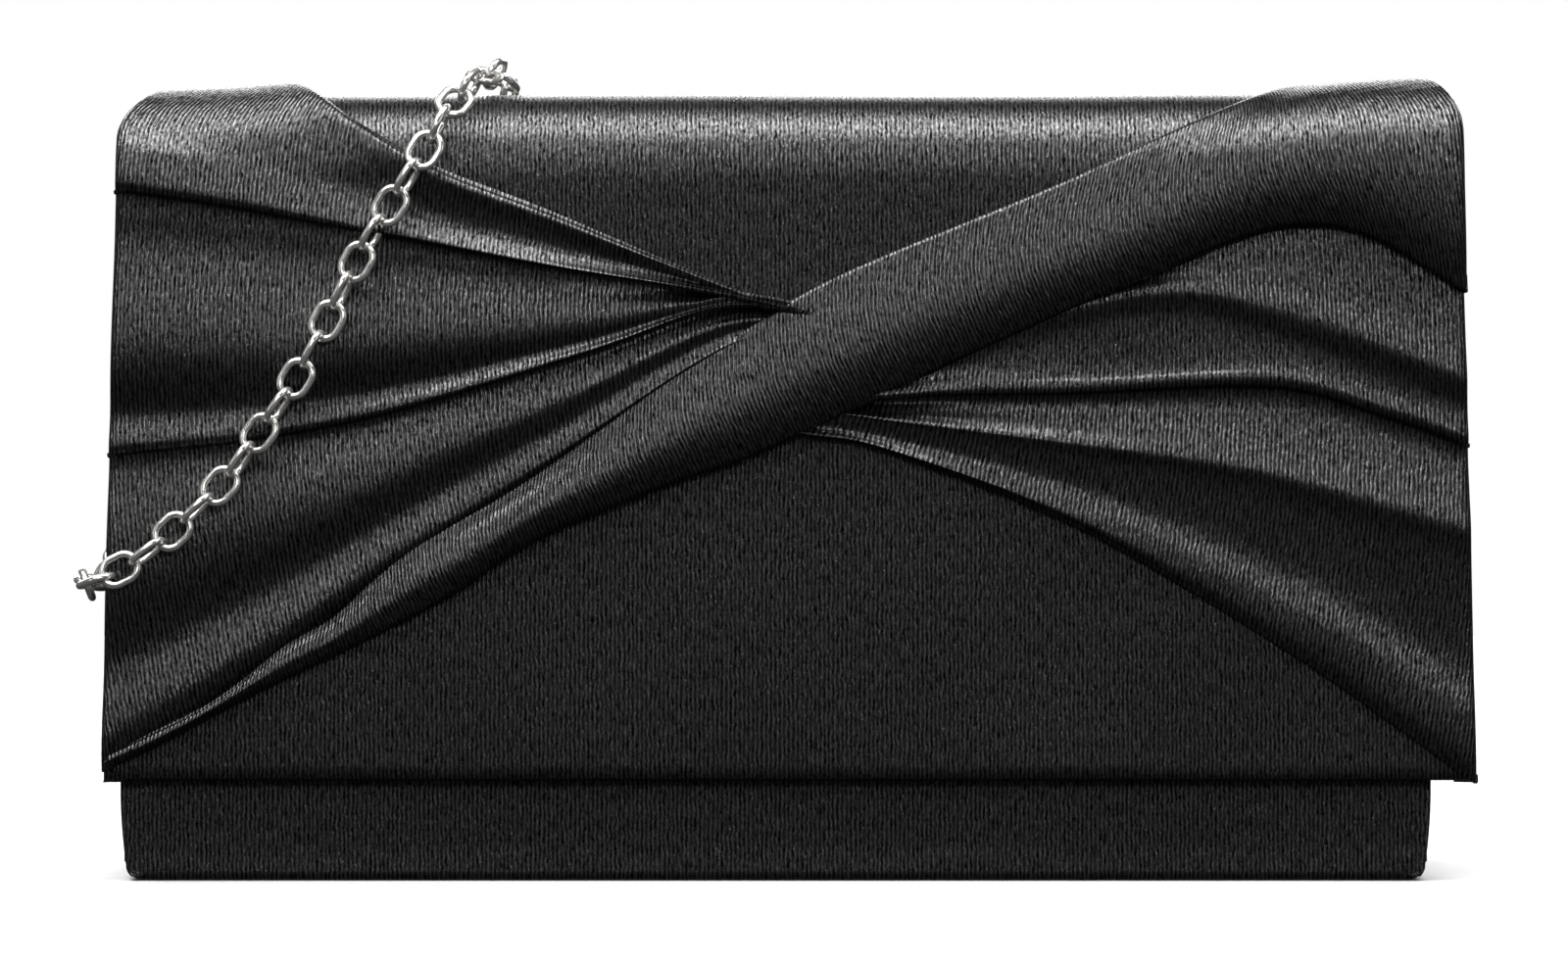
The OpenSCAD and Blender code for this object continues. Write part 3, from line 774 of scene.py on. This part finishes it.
def model_left_fan():
    """Left fan: three knife pleats that open from the knot towards the side edge."""
    knots = [
        (LEFT_TOP, 1.0, 0.2, 0.2), (LEFT_TOP, 0.2, 0.9, 0.8), (LEFT_TOP, -1.0, 1.7, 1.7),
        (LEFT_TOP, -5.0, 2.0, 2.2), (LEFT_TOP, -16.0, 1.3, 1.2), (LEFT_SECOND, 15.0, 1.1, 0.8),
        (LEFT_SECOND, 7.0, 2.0, 2.2), (LEFT_SECOND, 1.8, 3.4, 3.2), (LEFT_SECOND, 0.0, 3.5, 2.8),
        (LEFT_SECOND, -0.8, 2.2, 1.4), (LEFT_SECOND, -0.6, 0.9, 0.6),
        (LEFT_SECOND, -4.5, 0.6, 0.4), (LEFT_SECOND, -12.0, 0.9, 0.6),
        (LEFT_THIRD, 24.0, 1.8, 3.2), (LEFT_THIRD, 15.0, 1.9, 3.3), (LEFT_THIRD, 7.0, 2.0, 1.2),
        (LEFT_THIRD, 1.8, 3.2, 2.6), (LEFT_THIRD, 0.0, 3.2, 2.3), (LEFT_THIRD, -0.8, 2.1, 1.2),
        (LEFT_THIRD, -0.5, 0.9, 0.6), (LEFT_THIRD, -5.0, 0.7, 0.5), (LEFT_THIRD, -16.0, 1.5, 2.6),
        (LEFT_LOW, 33.0, 2.2, 2.8), (LEFT_LOW, 20.0, 1.8, 1.0), (LEFT_LOW, 9.0, 2.3, 2.6),
        (LEFT_LOW, 4.0, 2.7, 2.4), (LEFT_LOW, 1.2, 1.6, 1.2), (LEFT_LOW, 0.0, 0.6, 0.5)]

    def rib(x, s):
        return 0.62 * x - 0.38 * from_knot(x, s), s
    obj = pleated("drape_left_fan_cloth", knots, -1, rib)


def model_right_fan():
    """Right fan: a soft ridge, a rolled fold and a long lower roll."""
    knots = [
        (RIGHT_TOP, 3.0, 0.4, 0.6), (RIGHT_TOP, -1.0, 0.5, 0.5), (RIGHT_TOP, -6.0, 0.6, 0.6),
        (RIGHT_RIDGE, 8.0, 1.3, 1.8), (RIGHT_RIDGE, 1.0, 2.6, 3.4), (RIGHT_RIDGE, -4.0, 2.4, 2.2),
        (RIGHT_SECOND, 4.0, 2.7, 2.2), (RIGHT_SECOND, 1.6, 3.6, 3.0),
        (RIGHT_SECOND, 0.0, 3.6, 2.7), (RIGHT_SECOND, -0.9, 2.2, 1.3),
        (RIGHT_SECOND, -0.7, 0.9, 0.6), (RIGHT_SECOND, -4.5, 0.5, 0.4),
        (RIGHT_SHEEN, 3.0, 1.6, 1.9), (RIGHT_SHEEN, -3.0, 2.9, 3.5),
        (RIGHT_SHEEN, -10.0, 2.6, 2.4), (RIGHT_LOW, 22.0, 2.2, 1.4), (RIGHT_LOW, 12.0, 2.4, 2.4),
        (RIGHT_LOW, 4.5, 3.2, 2.4), (RIGHT_LOW, 1.6, 3.4, 2.0), (RIGHT_LOW, 0.0, 2.6, 1.4),
        (RIGHT_LOW, -0.8, 1.3, 0.8), (RIGHT_LOW, 0.2, 0.4, 0.3), (RIGHT_LOW, 0.6, 0.15, 0.12)]

    def rib(x, s):
        return 0.72 * x + 0.28 * from_knot(x, s), s
    obj = pleated("drape_right_fan_cloth", knots, 1, rib)


def model_band():
    """The band: one rolled fold from the lower left corner to the upper right one."""
    top, low = flat_line(BAND_TOP), flat_line(BAND_LOW)

    def band_knot(mix, shift, left, middle, right):
        line = [spread(top, u).lerp(spread(low, u), mix) for u in steps(0, 1, 30)]
        return line, shift, left, middle, right

    parts = [band_knot(0, -1.4, 0.4, 0.7, 0.5), band_knot(0, 0.1, 1.0, 1.3, 0.9),
             band_knot(0, -0.7, 1.6, 2.3, 1.7), band_knot(0.12, -1.0, 2.0, 3.2, 2.3),
             band_knot(0.35, 0, 2.6, 4.6, 4.0), band_knot(0.6, 0, 3.0, 6.0, 5.6),
             band_knot(0.85, 0.8, 2.6, 5.6, 5.7), band_knot(1, 0.6, 1.8, 3.9, 4.0),
             band_knot(1, -0.5, 1.0, 2.1, 2.1), band_knot(1, 0.4, 0.4, 0.9, 1.1),
             band_knot(1, 2.6, 0.2, 0.5, 0.6)]
    grid = []
    for u in steps(0, 1, 150):
        column = []
        for line, shift, left, middle, right in parts:
            spot = spread(line, u)
            side = eased(u / 0.45)
            lift = left + (middle - left) * side
            lift += (right - middle) * eased((u - 0.62) / 0.38)
            width = 0.35 + 0.65 * eased(u * 3)
            column.append(Vector((spot.x, spot.y + shift * width, lift)))
        grid.append(column)
    rows, uv_rows = [], []
    count = (len(parts) - 1) * ROWS_PER_KNOT
    lengths = [0.0]
    for a, b in zip(grid, grid[1:]):
        lengths.append(lengths[-1] + (b[4].to_2d() - a[4].to_2d()).length * MM)
    for j in range(count + 1):
        row, row_uv = [], []
        for i, column in enumerate(grid):
            p = through(column, (len(parts) - 1) * j / count)
            s = p.y * MM
            half = flap_half(max(0, min(s, HINGE_S))) + 0.3 * MM
            x = max(-1.0, min(1.0, p.x / CUT_HALF)) * half
            lift = p.z + soften((lengths[i] * 0.4, s, 0), 0.3, 15 * MM, 11)
            row.append(on_flap(x, s, max(0.15, lift) * MM))
            row_uv.append((lengths[i] + 0.12 * s, s))
        last_s = grid[-1][0].y + (grid[-1][-1].y - grid[-1][0].y) * j / count
        roll_edge(row, row_uv, 1, last_s * MM, BAND_ROLL)
        rows.append(row)
        uv_rows.append(row_uv)
    obj = cloth("drape_band_cloth", rows, uv_rows, 0.4 * MM, flip=True)
    settle(obj, "drape", "drape_satin", "drape_band", body="flap")


# ---------------------------------------------------------------- body, gussets and linings
def model_body_front():
    """Satin of the base and the front: under the bag, round the front edge and up to the mouth."""
    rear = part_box("base_cover")[1][1]
    rows, uv_rows = [], []
    roll = 1.6 * MM
    foot_y = front_y(0, FRONT_DEPTH)
    path = [((rear - 0.4 * MM, 0.45 * MM), (0.7, -0.7))]
    path += [((y, 0.02 * MM), (0, -1)) for y in steps(rear - 1.2 * MM, foot_y + roll, 20)]
    for a in steps(15, 75, 4):
        angle = math.radians(a)
        path.append(((foot_y + roll * (1 - math.sin(angle)), roll * (1 - math.cos(angle))),
                     (-math.sin(angle), -math.cos(angle))))
    out = (-math.cos(FRONT_LEAN), math.sin(FRONT_LEAN))
    for z in steps(roll + 0.3 * MM, MOUTH_Z + 1.1 * MM, 70):
        path.append(((front_y(z, FRONT_DEPTH), z), out))
    travel = 0.0
    for k, ((y, z), (ny, nz)) in enumerate(path):
        if k:
            travel += math.dist(path[k - 1][0], (y, z))
        corner = 2.2 * MM * max(0.0, 1 - z / (2.2 * MM)) ** 2
        half = BODY_HALF - foot_taper(z) - corner
        row, row_uv = [], []
        for x in steps(BODY_MID - half, BODY_MID + half, 96):
            edge = half - abs(x - BODY_MID)
            drop = 0.4 * MM * (1 - eased(edge / (2.2 * MM)))
            wave = soften((x, travel, 0), 0.14 * MM, 26 * MM, 5) * eased(edge / (12 * MM))
            wave = min(0.0, wave) - 0.1 * MM if z > 4 * MM else 0
            lift = wave - drop if z > 1 * MM else 0.0
            row.append(Vector((x, y + ny * lift, z + nz * lift)))
            row_uv.append((x, travel))
        for out_by, down in ((0.25, 0.4), (0.3, 1.2), (0.2, 2.4), (-2.5, 2.7)):
            if z > 1 * MM:
                reach = half + out_by * MM
                inside = (y - ny * down * MM, z - nz * down * MM)
                start = Vector((BODY_MID - reach, *inside))
                end = Vector((BODY_MID + reach, *inside))
            else:
                up = Vector((0, 0, 0.25 * MM))
                start, end = row[0] + up, row[-1] + up
            row = [start] + row + [end]
            row_uv = [(row_uv[0][0] - MM, travel)] + row_uv + [(row_uv[-1][0] + MM, travel)]
        rows.append(row)
        uv_rows.append(row_uv)
    obj = cloth("front_and_base_satin", rows, uv_rows, 0.4 * MM)
    settle(obj, "satin", "satin", "front_cover", "base_cover")
    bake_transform(obj)


def model_gusset(side):
    """One folded gusset: from the front panel's side in to the fold and out to the back's side."""
    name = "left" if side < 0 else "right"
    edge = BODY_LEFT if side < 0 else BODY_RIGHT
    fold_in = 23 * MM
    (_, _, low), (_, _, high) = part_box("gusset_%s_rear" % name)
    rows, uv_rows = [], []
    for z in steps(low - 0.2 * MM, high, 44):
        rise = (z - low) / (high - low)
        front = front_y(z, FRONT_INNER) + 0.25 * MM
        back = back_y(z, BACK_INNER) - 0.25 * MM
        row, row_uv, travel = [], [], 0.0
        for k, t in enumerate(steps(0, 1, 28)):
            fold = 1 - abs(2 * t - 1)
            rounded = fold - 0.06 * math.exp(-((1 - fold) / 0.1) ** 2)
            inward = fold_in * max(0.0, rise) * rounded
            puff = 1.0 * MM * math.sin(math.pi * fold) * (0.4 + rise)
            y = front + (back - front) * t
            x = edge - side * (0.3 * MM + inward - puff * 0.6)
            x -= side * soften((0, y, z), 0.5 * MM, 18 * MM, 9) * math.sin(math.pi * t)
            point = Vector((x, y, z))
            if k:
                travel += (point - row[-1]).length
            row.append(point)
            row_uv.append((travel, z))
        rows.append(row)
        uv_rows.append(row_uv)
    obj = cloth("gusset_%s_cloth" % name, rows, uv_rows, 0.4 * MM, flip=side < 0)
    settle(obj, "satin", "gusset_satin", "gusset_%s_rear" % name, "gusset_%s_front" % name)
    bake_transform(obj)


def model_lining_wrap():
    """Lining of the flap and the back in one length, so that it bridges the fold inside."""
    rows, uv_rows = [], []
    back_run = (HINGE.z - 4.2 * MM) / math.cos(BACK_LEAN)
    stations = steps(2.0 * MM, FRONT_RUN, 60) + steps(FRONT_RUN + 1.5 * MM, HINGE_S, 26)
    stations += steps(HINGE_S + 2 * MM, HINGE_S + back_run, 60)
    for s in stations:
        blend = eased((s - HINGE_S + 8 * MM) / (14 * MM))
        depth = (FLAP_DEPTH - 0.55 * MM) * (1 - blend) + 3.35 * MM * blend
        half = flap_half(min(s, HINGE_S)) - 1.6 * MM
        left = -half * (1 - blend) + (BODY_LEFT + 1.2 * MM) * blend
        right = half * (1 - blend) + (BODY_RIGHT - 1.2 * MM) * blend
        row, row_uv = [], []
        for x in steps(left, right, 72):
            wave = soften((x, s, 1), 0.14 * MM, 20 * MM, 13)
            row.append(on_flap(x, s, -depth - max(-0.15 * MM, wave) * 0.6))
            row_uv.append((x, s))
        rows.append(row)
        uv_rows.append(row_uv)
    obj = cloth("flap_and_back_lining", rows, uv_rows, -0.35 * MM, flip=True)
    settle(obj, "lining", "lining", "flap_lining", "back_lining")
    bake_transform(obj)


def model_front_lining():
    """Lining on the inside of the front panel."""
    (_, _, low), (_, _, high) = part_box("front_lining")

    def spot(z, x):
        wave = soften((x, z, 2), 0.25 * MM, 22 * MM, 17)
        return Vector((x, front_y(z, 7.75 * MM + max(-0.2 * MM, wave)), z)), (x, z)

    obj = cloth_over("front_lining_cloth", steps(low, high + 0.3 * MM, 50),
                     steps(BODY_LEFT + 1.2 * MM, BODY_RIGHT - 1.2 * MM, 72), spot, 0.35 * MM,
                     flip=True)
    settle(obj, "lining", "lining", "front_lining", body="front_panel")


def model_base_lining():
    """Lining on the floor of the bag."""
    (x0, y0, _), (x1, y1, top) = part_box("base_lining")

    def spot(y, x):
        return Vector((x, y, top + soften((x, y, 3), 0.2 * MM, 18 * MM, 19))), (x, y)

    obj = cloth_over("base_lining_cloth", steps(y0, y1, 24), steps(x0, x1, 72), spot, 0.4 * MM)
    settle(obj, "lining", "lining", "base_lining", body="bag_body")


def model_pocket():
    """Slip pocket on the back lining: a patch that bows out a little at its open top."""
    (x0, _, z0), (x1, _, z1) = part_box("slip_pocket")

    def bow(across, z):
        return 1.5 * MM * math.sin(math.pi * across) * min(1, (z - z0) / (z1 - z0)) ** 2

    def patch_spot(z, x):
        across = (x - x0) / (x1 - x0)
        edge = 0.4 * MM * eased(min(across, 1 - across) * 20)
        return Vector((x, back_y(z, 3.9 * MM) - bow(across, z) - edge, z)), (x, z)

    obj = cloth_over("slip_pocket_cloth", steps(z0, z1, 40), steps(x0, x1, 48), patch_spot,
                     0.35 * MM)
    settle(obj, "lining", "lining", "slip_pocket", body="bag_body")

    def tape_spot(station, x):
        z, out = station
        y = back_y(z, 4.3 * MM) - bow((x - x0) / (x1 - x0), z) - out * MM
        return Vector((x, y, z)), (x, z + out * MM)

    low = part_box("pocket_binding")[0][2]
    loop = [(low, 0.25), (low + 0.3 * MM, 0.75), (z1 - 0.6 * MM, 0.8), (z1 + 0.1 * MM, 0.4),
            (z1 + 0.1 * MM, -0.35), (z1 - 0.8 * MM, -0.8)]
    tape = cloth_over("pocket_binding_tape", loop, steps(x0, x1, 48), tape_spot, 0.25 * MM)
    settle(tape, "grosgrain", "binding", "pocket_binding", body="bag_body")


def model_mouth_binding():
    """Tape folded over the top edge of the front panel."""
    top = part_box("mouth_binding")[1][2]
    fold = [(MOUTH_Z - 5 * MM, 4.42), (MOUTH_Z - 4.6 * MM, 4.18), (top - 1 * MM, 4.15),
            (top - 0.2 * MM, 4.7), (top, 5.4), (top, 7.2), (top - 0.2 * MM, 7.9),
            (top - 1 * MM, 8.25), (MOUTH_Z - 4.6 * MM, 8.25), (MOUTH_Z - 5 * MM, 8.0)]

    def spot(station, x):
        z, depth = station
        return Vector((x, front_y(z, depth * MM), z)), (x, z + depth * MM)

    obj = cloth_over("mouth_binding_tape", fold,
                     steps(BODY_LEFT + 0.4 * MM, BODY_RIGHT - 0.4 * MM, 90), spot, 0.25 * MM)
    settle(obj, "grosgrain", "binding", "mouth_binding", body="front_panel")


def model_tab(side):
    """Tape loop that holds a D-ring to the back's top edge."""
    name = "left" if side < 0 else "right"
    (_, _, ring_low), (_, ring_back, ring_high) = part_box("d_ring_%s" % name)
    (x0, _, z0), (x1, _, _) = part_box("chain_tab_%s" % name)
    bar_y, bar_z = ring_back - 0.8 * MM, (ring_low + ring_high) / 2
    loop_r = 1.25 * MM
    path = [(back_y(z0, 3.9 * MM), z0), (back_y(z0 + 4 * MM, 3.9 * MM), z0 + 4 * MM),
            (bar_y + loop_r + 0.4 * MM, bar_z - 2.4 * MM)]
    path += arc(bar_y, bar_z, loop_r, -10, 250, 12)
    path += [(back_y(z0 + 4 * MM, 4.6 * MM), z0 + 4.4 * MM), (back_y(z0, 4.5 * MM), z0 + 0.4 * MM)]
    obj = tape_along("chain_tab_%s_tape" % name, path, x0, x1, 12, 0.3 * MM)
    settle(obj, "grosgrain", "binding", "chain_tab_%s" % name, body="bag_body")


def model_tie():
    """Flat elastic loop round the stored chain."""
    (x0, y0, z0), (x1, y1, z1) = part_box("chain_tie")
    r = 4 * MM
    path = []
    for y, z, first in ((y1 - r, z1 - r, 0), (y0 + r, z1 - r, 90), (y0 + r, z0 + r, 180),
                        (y1 - r, z0 + r, 270)):
        path += arc(y, z, r, first, first + 90, 8)
    path.append(path[0])
    obj = tape_along("chain_tie_elastic", path, x0, x1, 14, 0.5 * MM)
    settle(obj, "grosgrain", "binding", "chain_tie", body="bag_body")
    return obj


# ---------------------------------------------------------------- studio
# name, place, point it faces, size, power: metres and watts
LAMPS = (
    ("overhead_soft_box", (0, -0.1, 1.0), (0, -0.03, 0.05), (1.5, 0.5), 19),
    ("back_soft_box", (0, 1.3, 0.55), (0, 0, 0.15), (1.8, 0.5), 14),
    ("front_top_strip", (-0.5, -0.95, 1.0), (0, 0, 0.14), (0.8, 0.2), 5.5),
    ("front_upper_box", (0.2, -1.7, 0.8), (0, 0, 0.14), (1.2, 0.3), 6),
    ("left_soft_box", (-1.3, -0.6, 0.6), (0, 0, 0.08), (0.25, 0.7), 1.2),
    ("right_soft_box", (1.3, -0.6, 0.6), (0, 0, 0.08), (0.25, 0.7), 1.0),
)


# the camera looks a little down at the bag's front; lengths in metres, the sensor in millimetres
CAMERA_TARGET = Vector((-0.0009, -0.024, 0.0762))
CAMERA_TILT = math.radians(2.5)
CAMERA_DISTANCE = 1.7
CAMERA_SENSOR = 36
VIEW_WIDTH = 0.2986


def aim(obj, place, target):
    """Sets obj at a place, looking at a target."""
    obj.location = place
    obj.rotation_euler = (Vector(target) - Vector(place)).to_track_quat("-Z", "Y").to_euler()
    bpy.context.collection.objects.link(obj)


def studio_world():
    """White sweep behind the set, with only a little of its light falling on the bag."""
    world = bpy.data.worlds.new("studio_white")
    world.use_nodes = True
    tree = world.node_tree
    sweep = tree.nodes["Background"]
    sweep.inputs["Color"].default_value = (1, 1, 1, 1)
    sweep.inputs["Strength"].default_value = 1.0
    fill = add(tree, "ShaderNodeBackground", None, {"Color": (1, 1, 1, 1), "Strength": 0.06})
    path = add(tree, "ShaderNodeLightPath")
    mix = add(tree, "ShaderNodeMixShader", None, {0: path.outputs["Is Camera Ray"]})
    tree.links.new(fill.outputs[0], mix.inputs[1])
    tree.links.new(sweep.outputs[0], mix.inputs[2])
    tree.links.new(mix.outputs[0], tree.nodes["World Output"].inputs["Surface"])
    return world


# ---------------------------------------------------------------- operators
class ClutchSizes(bpy.types.PropertyGroup):
    """Sizes of the chain's links."""
    link_length: FloatProperty(name="Link length", description="Outer length of one link",
                               default=8.7 * MM, subtype="DISTANCE", unit="LENGTH")
    link_width: FloatProperty(name="Link width", description="Outer width of one link",
                              default=6.9 * MM, subtype="DISTANCE", unit="LENGTH")
    link_wire: FloatProperty(name="Link wire", description="Thickness of the link's wire",
                             default=1.5 * MM, subtype="DISTANCE", unit="LENGTH")
    link_segments: IntProperty(name="Link segments", description="Segments round one link",
                               default=26, min=12, max=32)


class ClutchLook(bpy.types.PropertyGroup):
    """Colours and lustre of the satin."""
    dark: StringProperty(name="Dark", description="Colour between the ribs", default="#020203")
    light: StringProperty(name="Light", description="Colour on the ribs", default="#0e0e0e")
    shine: FloatProperty(name="Shine", description="Share of lustre yarn in the cloth",
                         default=0.8, min=0, max=1, subtype="FACTOR")


class CLUTCH_OT_stage(bpy.types.Operator):
    """Floor, lights and camera"""
    bl_idname = "clutch.stage"
    bl_label = "Stage"

    def execute(self, context):
        deselect()
        bpy.ops.mesh.primitive_plane_add(size=1.5, location=(0, 0, 0))
        floor = context.object
        floor.name = "studio_floor"
        material, tree, shader = new_material("matt_white_floor")
        set_finish(tree, shader, Base_Color=srgb("#f4f4f4"), Roughness=0.7)
        floor.data.materials.append(material)
        # black flags stand round the set, so the floor's own glow doesn't reach the satin
        floor.visible_glossy = False
        floor.visible_diffuse = False
        context.scene.view_settings.view_transform = "Standard"
        context.scene.world = studio_world()
        for name, place, target, size, power in LAMPS:
            data = bpy.data.lights.new(name, "AREA")
            data.shape = "RECTANGLE"
            data.size, data.size_y = size
            data.energy = power
            lamp = bpy.data.objects.new(name, data)
            lamp.visible_camera = False
            aim(lamp, place, target)
        camera_data = bpy.data.cameras.new("front_camera")
        camera_data.sensor_width = CAMERA_SENSOR
        camera_data.lens = CAMERA_SENSOR * CAMERA_DISTANCE / VIEW_WIDTH
        camera = bpy.data.objects.new("front_camera", camera_data)
        away = Vector((0, -math.cos(CAMERA_TILT), math.sin(CAMERA_TILT)))
        aim(camera, CAMERA_TARGET + CAMERA_DISTANCE * away, CAMERA_TARGET)
        context.scene.camera = camera
        return {"FINISHED"}


class CLUTCH_OT_chain(bpy.types.Operator):
    """The shoulder chain: left run, front run, and the stored run with its hank"""
    bl_idname = "clutch.chain"
    bl_label = "Chain"

    def execute(self, context):
        left, left_path, left_length = model_chain(
            "chain_left", metres(LEFT_ROUTE), (-1, -0.3, 0))
        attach(left, "bag_body")
        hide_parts("chain_left_run")
        declare_chain(left, left_path, left_length, lay="hanging")
        front, front_path, front_length = model_chain(
            "chain_front", metres(FRONT_ROUTE + OVER_HINGE), (-1, -0.2, 0))
        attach(front, "flap")
        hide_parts("chain_front_run")
        declare_chain(front, front_path, front_length, lay="loose")
        stored_route = metres(BACK_TOP + BACK_ROUTE + hank_turns() + RIGHT_ROUTE)
        stored, stored_path, stored_length = model_chain("chain_stored", stored_route, (0, 1, 0))
        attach(stored, "bag_body")
        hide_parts("chain_back_run", "chain_hank", "chain_right_run")
        declare_chain(stored, stored_path, stored_length, lay="coiled",
                      with_pieces=[model_tie()])
        return {"FINISHED"}


class CLUTCH_OT_satin(bpy.types.Operator):
    """The smooth satin of the flap, back, base, front and gussets"""
    bl_idname = "clutch.satin"
    bl_label = "Satin covers"

    def execute(self, context):
        model_wrap()
        model_body_front()
        for side in (-1, 1):
            model_gusset(side)
        return {"FINISHED"}


class CLUTCH_OT_drape(bpy.types.Operator):
    """The crossed drape on the flap"""
    bl_idname = "clutch.drape"
    bl_label = "Drape"

    def execute(self, context):
        model_left_fan()
        model_right_fan()
        model_band()
        return {"FINISHED"}


class CLUTCH_OT_lining(bpy.types.Operator):
    """Linings, slip pocket, bindings and tabs"""
    bl_idname = "clutch.lining"
    bl_label = "Linings and tapes"

    def execute(self, context):
        model_lining_wrap()
        model_front_lining()
        model_base_lining()
        model_pocket()
        model_mouth_binding()
        for side in (-1, 1):
            model_tab(side)
        return {"FINISHED"}


class CLUTCH_OT_fittings(bpy.types.Operator):
    """Finishes for the boards, snaps, rings and clasps"""
    bl_idname = "clutch.fittings"
    bl_label = "Boards and metal fittings"

    def execute(self, context):
        looks = {"board": ("base_board", "back_board", "front_board", "flap_board"),
                 "wadding": ("flap_padding",),
                 "steel": ("snap_sockets", "snap_studs", "stud_washers"),
                 "magnet": ("socket_magnets",),
                 "silver": ("d_ring_left", "d_ring_right", "clasp_hook_left", "clasp_hook_right",
                            "clasp_lever_left", "clasp_lever_right", "clasp_pin_left",
                            "clasp_pin_right")}
        for look, nodes in looks.items():
            for node in nodes:
                dress(frame["nodes"][node], look)
        return {"FINISHED"}


STEPS = ("stage", "chain", "satin", "drape", "lining", "fittings")


class CLUTCH_PT_panel(bpy.types.Panel):
    """Sizes, colours and the steps in order"""
    bl_label = "Satin Evening Clutch"
    bl_idname = "CLUTCH_PT_panel"
    bl_space_type = "VIEW_3D"
    bl_region_type = "UI"
    bl_category = "Clutch"

    def draw(self, context):
        sizes, look = context.scene.clutch_sizes, context.scene.clutch_look
        for group, names in ((sizes, ("link_length", "link_width", "link_wire", "link_segments")),
                             (look, ("dark", "light", "shine"))):
            for name in names:
                self.layout.prop(group, name)
        for step in STEPS:
            self.layout.operator("clutch." + step)


CLASSES = (ClutchSizes, ClutchLook, CLUTCH_OT_stage, CLUTCH_OT_chain, CLUTCH_OT_satin,
           CLUTCH_OT_drape, CLUTCH_OT_lining, CLUTCH_OT_fittings, CLUTCH_PT_panel)


def register():
    for cls in CLASSES:
        bpy.utils.register_class(cls)
    bpy.types.Scene.clutch_sizes = PointerProperty(type=ClutchSizes)
    bpy.types.Scene.clutch_look = PointerProperty(type=ClutchLook)


def unregister():
    del bpy.types.Scene.clutch_look
    del bpy.types.Scene.clutch_sizes
    for cls in reversed(CLASSES):
        bpy.utils.unregister_class(cls)


def main():
    register()
    for step in STEPS:
        getattr(bpy.ops.clutch, step)()


if __name__ == "__main__":
    main()
